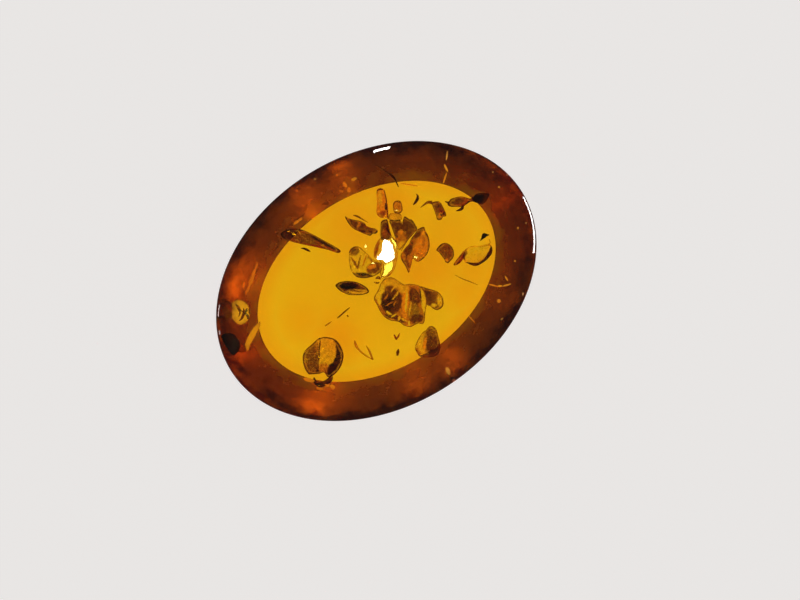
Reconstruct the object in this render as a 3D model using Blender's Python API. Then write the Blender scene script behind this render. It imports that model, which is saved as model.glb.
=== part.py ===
"""Oval amber cabochon: a polished dome, a rounded girdle and an undercut back with a small flat face.

Disc-shaped stress cracks, the "sun spangles" of heated amber, lie inside it as thin gaps.

Metres, +Z up. The origin is the centre of the flat back face that the stone rests on.
+X runs along its length and +Y across its width.
"""

import math
from dataclasses import dataclass
from enum import Enum

import bmesh
import bpy

MM = 0.001

# The outline seen from above is an ellipse.
LENGTH = 20.0 * MM
WIDTH = 14.85 * MM
HEIGHT = 6.2 * MM

# The back flank leaves the flat face at 42 degrees, bows out a little, and meets the girdle at 52 degrees.
FLANK_INSET = 3.1 * MM
FLANK_START_SLOPE = math.radians(42.0)
FLANK_END_SLOPE = math.radians(52.0)

# The girdle is a small round edge. Its widest line is at this height above the flat back.
GIRDLE_HEIGHT = 3.2 * MM
GIRDLE_RADIUS = 0.45 * MM

# The dome is the cap of an ellipsoid, cut where its section is this share of the widest one.
# It meets the girdle at this slope.
DOME_CUT = 0.8
DOME_FOOT_SLOPE = math.radians(40.0)

# The girdle's round edge runs between these angles, below and above its widest line.
GIRDLE_LOW_ANGLE = FLANK_END_SLOPE - math.pi / 2
GIRDLE_HIGH_ANGLE = math.pi / 2 - DOME_FOOT_SLOPE

# Faceting: points round the stone, and rings up each stretch of its section.
POINTS_AROUND = 112
FLANK_RINGS = 5
GIRDLE_RINGS_BELOW = 2
GIRDLE_RINGS_ABOVE = 3
DOME_RINGS = 13

# Smooth shading is kept up to this angle, so only the flat back's edge and the cracks' rims stay crisp.
CRISP_EDGE = math.radians(30.0)

# A crack is a lens-shaped gap this thick in its middle. It thins to nothing at its rim.
CRACK_THICKNESS = 0.16 * MM
CRACK_POINTS = 16
# Rings of the gap's walls: how far out from the middle, and the share of the thickness there.
CRACK_SHOULDER = (0.7, 0.8)
# A solid can't hold a sealed gap, so a channel as fine as a hair opens each one to the flat back or the flank.
CHANNEL_RADIUS = 0.06 * MM
CHANNEL_END = -0.5 * MM

AMBER_COLOUR = (0.76, 0.35, 0.0031, 1.0)
AMBER_IOR = 1.54
POLISH_ROUGHNESS = 0.03


class Form(Enum):
    """The outline of a crack, seen from above."""

    OVAL = "round at both ends"
    BLADE = "pointed at both ends"
    DROP = "pointed at its far end"
    HALF = "an oval with one side cut off flat"


@dataclass
class Crack:
    """One stress crack: where its middle is, its half length and width, its turn, how it slopes and its form."""

    middle: tuple
    half: tuple
    turn: float = 0.0
    slope: tuple = (0.0, 0.0)
    form: Form = Form.OVAL


# Millimetres from the middle of the flat back, and degrees from +X.
# Slopes are rises along the stone and across it for each millimetre.
CRACKS = {
    "left_blade": Crack((-2.0, 3.6, 2.5), (1.75, 0.4), -48, (0.0, -0.3), Form.DROP),
    "top_blade": Crack((0.85, 2.9, 3.2), (1.0, 0.28), -57, (0.0, -0.4), Form.BLADE),
    "folded": Crack((-0.1, 1.15, 3.5), (1.0, 0.65), -69),
    "bright": Crack((1.2, 0.85, 4.3), (1.15, 0.6), 57),
    "wedge": Crack((1.9, 2.1, 3.8), (0.55, 0.3), 61, (0.2, -0.25)),
    "leaf": Crack((2.7, 1.6, 3.0), (0.95, 0.7), -130, (-0.3, -0.15), Form.DROP),
    "petal": Crack((2.8, 0.3, 3.6), (1.35, 0.65), -149, (-0.3, 0.1), Form.DROP),
    "grainy": Crack((5.0, 1.5, 3.0), (0.52, 0.3), 80, (0.25, -0.15)),
    "two_lobed": Crack((6.8, 1.1, 2.5), (1.2, 0.35), -19, (0.15, -0.3)),
    "right_oval": Crack((5.6, -1.6, 2.9), (0.9, 0.55), -10, (0.0, -0.4)),
    "half_disc": Crack((4.1, -0.65, 3.5), (0.55, 0.45), 88, (0.35, 0.1), Form.HALF),
    "lens": Crack((-1.35, 0.3, 3.1), (0.93, 0.37), -39, (0.2, 0.2), Form.BLADE),
    "great": Crack((0.6, -1.65, 2.7), (1.5, 1.2), -58),
    "behind": Crack((2.15, -2.25, 1.75), (0.78, 0.46), -78, (-0.3, 0.1), Form.HALF),
    "low": Crack((-4.75, -2.05, 2.7), (1.23, 1.0), 10),
    "low_right": Crack((0.7, -4.3, 2.65), (0.9, 0.7), 45, (-0.3, 0.05)),
    "ring_disc": Crack((-7.5, 2.4, 2.75), (0.67, 0.58), 82, (1.3, -0.5)),
    "ring_blade": Crack((-7.5, 0.95, 2.4), (0.9, 0.17), 29, (1.35, -0.15), Form.BLADE),
    "feather": Crack((2.5, 3.4, 3.3), (0.85, 0.32), 64, (0.0, -0.1)),
}

# The share of a half oval's width that is left on its flat side.
HALF_REST = 0.3
# How blunt a drop's pointed end stays.
DROP_TIP = 0.02


def clear_scene():
    """Remove every object, so that the stone stands alone."""
    for thing in list(bpy.data.objects):
        bpy.data.objects.remove(thing)


def girdle_point(angle):
    """Return (inset, height) on the girdle's round edge, at an angle above the horizontal."""
    inset = GIRDLE_RADIUS * (1.0 - math.cos(angle))
    return inset, GIRDLE_HEIGHT + GIRDLE_RADIUS * math.sin(angle)


def flank_corner(end_inset, end_height):
    """Return (inset, height) where the flank's first and last slopes would meet."""
    rise_first = math.tan(FLANK_START_SLOPE)
    rise_last = math.tan(FLANK_END_SLOPE)
    back = (end_height - (FLANK_INSET - end_inset) * rise_first) / (rise_last - rise_first)
    return end_inset + back, end_height - back * rise_last


def flank_rings():
    """Inset and height of the rings from the flat back's edge up to the girdle's underside."""
    end_inset, end_height = girdle_point(GIRDLE_LOW_ANGLE)
    corner_inset, corner_height = flank_corner(end_inset, end_height)
    for step in range(FLANK_RINGS + 1):
        share = step / FLANK_RINGS
        rest = 1.0 - share
        near, middle, far = rest * rest, 2.0 * rest * share, share * share
        inset = near * FLANK_INSET + middle * corner_inset + far * end_inset
        yield inset, middle * corner_height + far * end_height


def girdle_rings():
    """Inset and height of the rings round the girdle, past its widest line to the dome's foot."""
    for step in range(1, GIRDLE_RINGS_BELOW + 1):
        yield girdle_point(GIRDLE_LOW_ANGLE * (1.0 - step / GIRDLE_RINGS_BELOW))
    for step in range(1, GIRDLE_RINGS_ABOVE + 1):
        yield girdle_point(GIRDLE_HIGH_ANGLE * step / GIRDLE_RINGS_ABOVE)


def dome_rings():
    """Semi-axes and height of the rings from above the dome's foot to just under its top."""
    foot_angle = math.acos(DOME_CUT)
    foot_inset, foot_height = girdle_point(GIRDLE_HIGH_ANGLE)
    radius_up = (HEIGHT - foot_height) / (1.0 - math.sin(foot_angle))
    centre_height = HEIGHT - radius_up
    for step in range(1, DOME_RINGS):
        angle = foot_angle + (math.pi / 2 - foot_angle) * step / DOME_RINGS
        share = math.cos(angle) / DOME_CUT
        semi_x = (LENGTH / 2 - foot_inset) * share
        semi_y = (WIDTH / 2 - foot_inset) * share
        yield semi_x, semi_y, centre_height + radius_up * math.sin(angle)


def add_ring(shape, semi_x, semi_y, height):
    """Add one ellipse of points and return them."""
    turns = (2.0 * math.pi * i / POINTS_AROUND for i in range(POINTS_AROUND))
    return [shape.verts.new((semi_x * math.cos(t), semi_y * math.sin(t), height)) for t in turns]


def stone_mesh():
    """Loft the rings into one closed skin, with the flat back below and the dome's top above."""
    shape = bmesh.new()
    rings = []
    for inset, height in (*flank_rings(), *girdle_rings()):
        rings.append(add_ring(shape, LENGTH / 2 - inset, WIDTH / 2 - inset, height))
    for semi_x, semi_y, height in dome_rings():
        rings.append(add_ring(shape, semi_x, semi_y, height))
    for lower, upper in zip(rings, rings[1:]):
        for i in range(POINTS_AROUND):
            j = (i + 1) % POINTS_AROUND
            shape.faces.new((lower[i], lower[j], upper[j], upper[i]))
    top = shape.verts.new((0.0, 0.0, HEIGHT))
    for i in range(POINTS_AROUND):
        shape.faces.new((rings[-1][i], rings[-1][(i + 1) % POINTS_AROUND], top))
    shape.faces.new(list(reversed(rings[0])))
    mesh = bpy.data.meshes.new("amber_cabochon")
    shape.to_mesh(mesh)
    shape.free()
    return mesh


def outline_point(form, angle):
    """Return shares of the half length and the half width on a crack's outline."""
    along, across = math.cos(angle), math.sin(angle)
    if form is Form.BLADE:
        across *= abs(across)
    elif form is Form.DROP:
        across *= math.sqrt((1.0 - along) / 2.0 + DROP_TIP)
    elif form is Form.HALF and across < 0.0:
        across *= HALF_REST
    return along, across


def crack_ring(shape, crack, reach, rise):
    """Add one ring of a crack's walls, at a share of its outline and a rise above its middle sheet."""
    turn = math.radians(crack.turn)
    middle_x, middle_y, middle_z = (value * MM for value in crack.middle)
    ring = []
    for i in range(CRACK_POINTS):
        along, across = outline_point(crack.form, 2.0 * math.pi * i / CRACK_POINTS)
        along *= crack.half[0] * MM * reach
        across *= crack.half[1] * MM * reach
        x = along * math.cos(turn) - across * math.sin(turn)
        y = along * math.sin(turn) + across * math.cos(turn)
        z = middle_z + crack.slope[0] * x + crack.slope[1] * y + rise
        ring.append(shape.verts.new((middle_x + x, middle_y + y, z)))
    return ring


def channel_rings(shape, crack):
    """Add the two rings of the channel that runs straight down from a crack's lower wall."""
    middle_x, middle_y, middle_z = (value * MM for value in crack.middle)
    turn = math.radians(crack.turn)
    ends, mouth = [], []
    for i in range(CRACK_POINTS):
        angle = turn + 2.0 * math.pi * i / CRACK_POINTS
        x, y = CHANNEL_RADIUS * math.cos(angle), CHANNEL_RADIUS * math.sin(angle)
        tilt = crack.slope[0] * x + crack.slope[1] * y
        ends.append(shape.verts.new((middle_x + x, middle_y + y, CHANNEL_END)))
        mouth.append(shape.verts.new((middle_x + x, middle_y + y, middle_z + tilt - CRACK_THICKNESS / 2)))
    return ends, mouth


def crack_cutter(name, crack):
    """Make the closed shape that a crack and its channel take out of the stone."""
    shape = bmesh.new()
    reach, share = CRACK_SHOULDER
    shoulder = share * CRACK_THICKNESS / 2
    rings = [
        *channel_rings(shape, crack),
        crack_ring(shape, crack, reach, -shoulder),
        crack_ring(shape, crack, 1.0, 0.0),
        crack_ring(shape, crack, reach, shoulder),
    ]
    top = shape.verts.new((crack.middle[0] * MM, crack.middle[1] * MM, crack.middle[2] * MM + CRACK_THICKNESS / 2))
    for lower, upper in zip(rings, rings[1:]):
        for i in range(CRACK_POINTS):
            j = (i + 1) % CRACK_POINTS
            shape.faces.new((lower[i], lower[j], upper[j], upper[i]))
    for i in range(CRACK_POINTS):
        shape.faces.new((rings[-1][i], rings[-1][(i + 1) % CRACK_POINTS], top))
    shape.faces.new(list(reversed(rings[0])))
    mesh = bpy.data.meshes.new(name)
    shape.to_mesh(mesh)
    shape.free()
    cutter = bpy.data.objects.new(name, mesh)
    cutter.hide_render = True
    cutter.display_type = "WIRE"
    bpy.context.scene.collection.objects.link(cutter)
    return cutter


def open_cracks(stone):
    """Take every crack out of the stone."""
    for name, crack in CRACKS.items():
        cut = stone.modifiers.new(f"crack_{name}", "BOOLEAN")
        cut.operation = "DIFFERENCE"
        cut.solver = "EXACT"
        cut.object = crack_cutter(f"crack_{name}", crack)


def finish_faces(stone):
    """Apply the cuts, and shade the faces that they leave smooth up to the crisp edges."""
    cut_stone = stone.evaluated_get(bpy.context.evaluated_depsgraph_get())
    mesh = bpy.data.meshes.new_from_object(cut_stone)
    stone.modifiers.clear()
    stone.data = mesh
    mesh.shade_smooth()
    mesh.set_sharp_from_angle(angle=CRISP_EDGE)


def amber():
    """Clear golden-brown amber, polished until it shines."""
    material = bpy.data.materials.new("amber")
    material.use_nodes = True
    surface = material.node_tree.nodes["Principled BSDF"]
    surface.inputs["Base Color"].default_value = AMBER_COLOUR
    surface.inputs["Metallic"].default_value = 0.0
    surface.inputs["Roughness"].default_value = POLISH_ROUGHNESS
    surface.inputs["IOR"].default_value = AMBER_IOR
    surface.inputs["Transmission Weight"].default_value = 1.0
    return material


def build_cabochon():
    """Make the stone, resting on its flat back."""
    mesh = stone_mesh()
    mesh.materials.append(amber())
    stone = bpy.data.objects.new("amber_cabochon", mesh)
    bpy.context.scene.collection.objects.link(stone)
    return stone


clear_scene()
cabochon = build_cabochon()
open_cracks(cabochon)
finish_faces(cabochon)
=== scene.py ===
import logging
import math
from dataclasses import dataclass
from dataclasses import replace
from enum import Enum

import bmesh
import bpy
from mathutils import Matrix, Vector
from mathutils import noise


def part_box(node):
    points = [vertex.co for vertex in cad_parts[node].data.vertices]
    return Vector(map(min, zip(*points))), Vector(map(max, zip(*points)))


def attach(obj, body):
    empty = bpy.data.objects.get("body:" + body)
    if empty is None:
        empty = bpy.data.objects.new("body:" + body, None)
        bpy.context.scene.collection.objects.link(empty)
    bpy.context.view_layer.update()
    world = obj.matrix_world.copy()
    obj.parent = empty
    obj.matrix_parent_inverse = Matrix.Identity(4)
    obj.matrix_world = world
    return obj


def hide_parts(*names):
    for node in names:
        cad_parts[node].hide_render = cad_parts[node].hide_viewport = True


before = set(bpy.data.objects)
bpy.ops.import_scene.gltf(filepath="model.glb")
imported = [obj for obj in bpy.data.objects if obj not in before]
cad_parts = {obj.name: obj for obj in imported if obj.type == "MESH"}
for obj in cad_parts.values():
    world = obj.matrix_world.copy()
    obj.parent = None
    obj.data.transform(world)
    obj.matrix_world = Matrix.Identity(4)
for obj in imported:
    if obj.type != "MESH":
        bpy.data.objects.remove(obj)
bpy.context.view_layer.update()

LOG = logging.getLogger("amber_cabochon")

MM = 0.001
STONE_NODE = "amber_cabochon"
BODY = "root"

# The picture that the camera is matched to, in pixels.
PICTURE_WIDTH = 800
PICTURE_HEIGHT = 600

AMBER_IOR = 1.54
TAU = 2.0 * math.pi

# Most of a noise texture's values lie between these two.
NOISE_LOW = 0.3
NOISE_HIGH = 0.7

# Edges sharper than this stay crisp, in degrees.
CRISP_STONE = 30.0
CRISP_GAP = 60.0

# Steps for halving a search range, and for walking a line of sight to a curved surface and out of it.
HALVINGS = 24
SIGHT_STEPS = 8
LAMP_STEPS = 4


def linear(hex_colour: str) -> tuple[float, float, float, float]:
    """Turn an sRGB hex colour into the linear colour that shaders work in.

    Args:
        hex_colour: Six hex digits after a hash.

    Returns:
        Red, green, blue and a full alpha.
    """
    channels = []
    for start in (1, 3, 5):
        share = int(hex_colour[start:start + 2], 16) / 255.0
        low = share / 12.92
        high = ((share + 0.055) / 1.055) ** 2.4
        channels.append(low if share <= 0.04045 else high)
    return channels[0], channels[1], channels[2], 1.0


def add_node(
    tree: bpy.types.NodeTree, kind: str, settings: dict | None = None, links: dict | None = None,
) -> bpy.types.Node:
    """Add one shader node, set it up and link its inputs.

    Args:
        tree: The node tree to add to.
        kind: Blender's name for the node type.
        settings: Node properties, and values of inputs given as "in:NAME" or "in:INDEX".
        links: Input name or index to the output socket that feeds it.

    Returns:
        The new node.
    """
    node = tree.nodes.new(kind)
    for name, value in (settings or {}).items():
        if name.startswith("in:"):
            key = name[3:]
            node.inputs[int(key) if key.isdigit() else key].default_value = value
        else:
            setattr(node, name, value)
    for key, source in (links or {}).items():
        tree.links.new(source, node.inputs[key])
    return node


def pixel_noise(px: float, py: float, size: float, layer: float) -> float:
    """Return a smooth noise about zero that changes over a size in pixels."""
    return noise.noise(Vector((px / size, py / size, layer)))


def smooth_step(low: float, high: float, value: float) -> float:
    """Ease from 0 at low to 1 at high, which may be the smaller of the two."""
    share = min(1.0, max(0.0, (value - low) / (high - low)))
    return share * share * (3.0 - 2.0 * share)


def object_from(shape: bmesh.types.BMesh, name: str, crisp_degrees: float) -> bpy.types.Object:
    """Turn a finished shape into a smooth-shaded object in the scene.

    Args:
        shape: The shape, which is freed.
        name: The object's name.
        crisp_degrees: Edges sharper than this stay crisp.

    Returns:
        The new object.
    """
    mesh = bpy.data.meshes.new(name)
    shape.normal_update()
    shape.to_mesh(mesh)
    shape.free()
    mesh.shade_smooth()
    mesh.set_sharp_from_angle(angle=math.radians(crisp_degrees))
    thing = bpy.data.objects.new(name, mesh)
    bpy.context.scene.collection.objects.link(thing)
    return thing


@dataclass(frozen=True)
class Section:
    """The stone's section and outline, in millimetres, as the frame's solid has them.

    Only the girdle is rounded more tightly than the solid's, which keeps the line at the outline thin.
    """

    half_length: float
    half_width: float
    height: float
    flank_inset: float = 3.1
    flank_start_degrees: float = 42.0
    flank_end_degrees: float = 52.0
    girdle_height: float = 3.2
    girdle_radius: float = 0.16
    dome_cut: float = 0.8
    dome_foot_degrees: float = 40.0

    @property
    def girdle_low(self) -> float:
        """Angle of the girdle's round edge where the flank meets it, below the horizontal."""
        return math.radians(self.flank_end_degrees - 90.0)

    @property
    def girdle_high(self) -> float:
        """Angle of the girdle's round edge where the dome begins, above the horizontal."""
        return math.radians(90.0 - self.dome_foot_degrees)

    def girdle_point(self, angle: float) -> tuple[float, float]:
        """Return (inset, height) on the girdle's round edge."""
        inset = self.girdle_radius * (1.0 - math.cos(angle))
        return inset, self.girdle_height + self.girdle_radius * math.sin(angle)

    def flank_point(self, share: float) -> tuple[float, float]:
        """Return (inset, height) at a share of the way up the flank's gentle curve.

        Args:
            share: 0 at the flat back's edge and 1 at the girdle's underside.

        Returns:
            The inset from the outline, and the height above the flat back.
        """
        end_inset, end_height = self.girdle_point(self.girdle_low)
        rise_first = math.tan(math.radians(self.flank_start_degrees))
        rise_last = math.tan(math.radians(self.flank_end_degrees))
        back = (end_height - (self.flank_inset - end_inset) * rise_first) / (rise_last - rise_first)
        corner = (end_inset + back, end_height - back * rise_last)
        rest = 1.0 - share
        near, middle, far = rest * rest, 2.0 * rest * share, share * share
        inset = near * self.flank_inset + middle * corner[0] + far * end_inset
        return inset, middle * corner[1] + far * end_height

    @property
    def dome_foot(self) -> tuple[float, float]:
        """Inset and height of the ring where the dome begins."""
        return self.girdle_point(self.girdle_high)

    @property
    def dome_radius_up(self) -> float:
        """The upright semi-axis of the ellipsoid that the dome is cut from."""
        return (self.height - self.dome_foot[1]) / (1.0 - math.sqrt(1.0 - self.dome_cut**2))

    def dome_semi_axes(self) -> tuple[float, float]:
        """Return the ellipsoid's two level semi-axes."""
        inset = self.dome_foot[0]
        return (self.half_length - inset) / self.dome_cut, (self.half_width - inset) / self.dome_cut

    def dome_at(self, x: float, y: float) -> tuple[float, Vector]:
        """Find the dome's surface above a level place.

        Args:
            x: Millimetres along the stone.
            y: Millimetres across it.

        Returns:
            The surface's height and its outward normal.
        """
        semi_x, semi_y = self.dome_semi_axes()
        up = self.dome_radius_up
        inside = max(1e-6, 1.0 - (x / semi_x) ** 2 - (y / semi_y) ** 2)
        height = self.height - up + up * math.sqrt(inside)
        normal = Vector((x / semi_x**2, y / semi_y**2, math.sqrt(inside) / up))
        return height, normal.normalized()

    def back_inset(self, height: float) -> float:
        """Return how far the flank lies inside the outline at a height, by halving the search range.

        Args:
            height: Millimetres over the flat back.

        Returns:
            The inset from the outline.
        """
        low, high = 0.0, 1.0
        for _ in range(HALVINGS):
            middle = (low + high) / 2.0
            if self.flank_point(middle)[1] < height:
                low = middle
            else:
                high = middle
        return self.flank_point(low)[0]


@dataclass(frozen=True)
class Sighting:
    """Where the stone lies in the picture, and how a line of sight bends on its way into it."""

    section: Section
    centre_x: float = 376.3
    centre_y: float = 281.0
    half_length_pixels: float = 170.9
    rise_degrees: float = 31.24
    lens: float = 90.0
    sensor: float = 36.0

    @property
    def pixel(self) -> float:
        """Millimetres across the stone for each pixel."""
        return self.section.half_length / self.half_length_pixels

    @property
    def distance(self) -> float:
        """Millimetres from the camera down to the level of the girdle."""
        return PICTURE_WIDTH * self.pixel * self.lens / self.sensor

    def level_place(self, px: float, py: float) -> tuple[float, float]:
        """Return where a pixel lies on the girdle's level, in millimetres along and across the stone.

        Args:
            px: Pixels from the picture's left.
            py: Pixels from its top.

        Returns:
            The place along and across the stone.
        """
        right = (px - self.centre_x) * self.pixel
        up = (self.centre_y - py) * self.pixel
        turn = math.radians(self.rise_degrees)
        return (
            right * math.cos(turn) + up * math.sin(turn),
            up * math.cos(turn) - right * math.sin(turn),
        )

    def camera_place(self) -> Vector:
        """Return the camera's place in millimetres."""
        x, y = self.level_place(PICTURE_WIDTH / 2, PICTURE_HEIGHT / 2)
        return Vector((x, y, self.section.girdle_height + self.distance))

    def enter(self, px: float, py: float) -> tuple[Vector, Vector, Vector]:
        """Follow a pixel's line of sight to the dome and bend it there by Snell's law.

        Args:
            px: Pixels from the picture's left.
            py: Pixels from its top.

        Returns:
            The point on the dome, the bent direction inside, and the dome's normal there.
        """
        eye = self.camera_place()
        x, y = self.level_place(px, py)
        sight = (Vector((x, y, self.section.girdle_height)) - eye).normalized()
        point = Vector((x, y, self.section.height))
        for _ in range(SIGHT_STEPS):
            height, _normal = self.section.dome_at(point.x, point.y)
            point = eye + sight * ((height - eye.z) / sight.z)
        _height, normal = self.section.dome_at(point.x, point.y)
        ratio = 1.0 / AMBER_IOR
        facing = -sight.dot(normal)
        under = 1.0 - ratio**2 * (1.0 - facing**2)
        inside = sight * ratio + normal * (ratio * facing - math.sqrt(under))
        return point, inside, normal

    def at_height(self, px: float, py: float, height: float) -> Vector:
        """Return the place inside the stone that shows at a pixel and lies at a height, in millimetres."""
        point, inside, _normal = self.enter(px, py)
        return point + inside * ((height - point.z) / inside.z)

    def on_back(self, px: float, py: float) -> Vector:
        """Return the place on the flat back or the flank that shows at a pixel, in millimetres.

        Args:
            px: Pixels from the picture's left.
            py: Pixels from its top.

        Returns:
            The place, in millimetres.
        """
        low, high = 0.0, self.section.girdle_height
        for _ in range(HALVINGS):
            middle = (low + high) / 2.0
            place = self.at_height(px, py, middle)
            inset = self.section.back_inset(middle)
            across = (place.x / (self.section.half_length - inset)) ** 2
            across += (place.y / (self.section.half_width - inset)) ** 2
            if across > 1.0:
                low = middle
            else:
                high = middle
        return self.at_height(px, py, high)

    def lean_for(
        self, px: float, py: float, height: float, rise_x: float, rise_y: float,
    ) -> tuple[float, float]:
        """Turn a slope in the stone into rises for each seen millimetre to the right and down.

        Args:
            px: Pixels from the picture's left, at the middle of the sloping face.
            py: Pixels from its top.
            height: The face's height there.
            rise_x: Its rise for each millimetre along the stone.
            rise_y: Its rise for each millimetre across it.

        Returns:
            The rises to the right and down.
        """
        here = self.at_height(px, py, height)
        right = self.at_height(px + 1.0, py, height) - here
        down = self.at_height(px, py + 1.0, height) - here
        return (
            (rise_x * right.x + rise_y * right.y) / self.pixel,
            (rise_x * down.x + rise_y * down.y) / self.pixel,
        )

    def outward_lean(self, px: float, py: float, height: float, degrees: float) -> tuple[float, float]:
        """Return the lean of a face that falls towards the nearest outline at an angle.

        Args:
            px: Pixels from the picture's left.
            py: Pixels from its top.
            height: Where the face lies.
            degrees: How steeply it falls.

        Returns:
            The rises to the right and down.
        """
        section = self.section
        place = self.at_height(px, py, height)
        out = Vector((place.x / section.half_length**2, place.y / section.half_width**2)).normalized()
        fall = -math.tan(math.radians(degrees))
        return self.lean_for(px, py, height, out.x * fall, out.y * fall)

    def flank_exit(self, px: float, py: float, height: float, degrees: float) -> Vector:
        """Follow a line of sight that an outward-falling face turns aside, out to the flank.

        Args:
            px: Pixels from the picture's left.
            py: Pixels from its top.
            height: Where the face lies.
            degrees: How steeply it falls.

        Returns:
            The place where the line meets the flank.
        """
        section = self.section
        place = self.at_height(px, py, height)
        _point, inside, _normal = self.enter(px, py)
        out = Vector((place.x / section.half_length**2, place.y / section.half_width**2, 0.0)).normalized()
        face = out * math.sin(math.radians(degrees)) + Vector((0.0, 0.0, math.cos(math.radians(degrees))))
        turned = inside - face * (2.0 * inside.dot(face))
        step = 0.05
        while place.z > 0.0:
            inset = section.back_inset(min(place.z, section.girdle_height - section.girdle_radius))
            across = (place.x / (section.half_length - inset)) ** 2
            across += (place.y / (section.half_width - inset)) ** 2
            if across > 1.0:
                return place
            place = place + turned * step
        return place

    def lamp_lean(self, px: float, py: float, height: float, lamp: Vector) -> tuple[float, float]:
        """Return the lean of a face inside the stone that mirrors a lamp to the camera.

        Args:
            px: Pixels from the picture's left.
            py: Pixels from its top.
            height: Where the face lies.
            lamp: The small lamp's place, in millimetres.

        Returns:
            The rises to the right and down.
        """
        place = self.at_height(px, py, height)
        _point, inside, _normal = self.enter(px, py)
        way_out = Vector((0.0, 0.0, 1.0))
        ratio = 1.0 / AMBER_IOR
        for _ in range(LAMP_STEPS):
            top, _normal = self.section.dome_at(place.x, place.y)
            leaving = place + way_out * ((top - place.z) / way_out.z)
            top, normal = self.section.dome_at(leaving.x, leaving.y)
            to_lamp = (lamp - Vector((leaving.x, leaving.y, top))).normalized()
            facing = to_lamp.dot(normal)
            under = 1.0 - ratio**2 * (1.0 - facing**2)
            way_out = to_lamp * ratio - normal * (ratio * facing - math.sqrt(under))
        face = (way_out - inside).normalized()
        return self.lean_for(px, py, height, -face.x / face.z, -face.y / face.z)

    def mirrored(self, px: float, py: float) -> Vector:
        """Return the direction that the dome mirrors to the camera at a pixel.

        Args:
            px: Pixels from the picture's left.
            py: Pixels from its top.

        Returns:
            The direction, of length one.
        """
        point, _inside, normal = self.enter(px, py)
        sight = (point - self.camera_place()).normalized()
        return sight - normal * (2.0 * sight.dot(normal))


@dataclass(frozen=True)
class SoftSpot:
    """A soft round place on the back, given by the pixel that it shows at."""

    px: float
    py: float
    radius: float
    strength: float


@dataclass(frozen=True)
class WornSpot:
    """A place on the flank where the skin and its painted shade are ground away, in the stone's millimetres.
    """

    place: Vector
    radius: float
    strength: float
    tint: str


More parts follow.
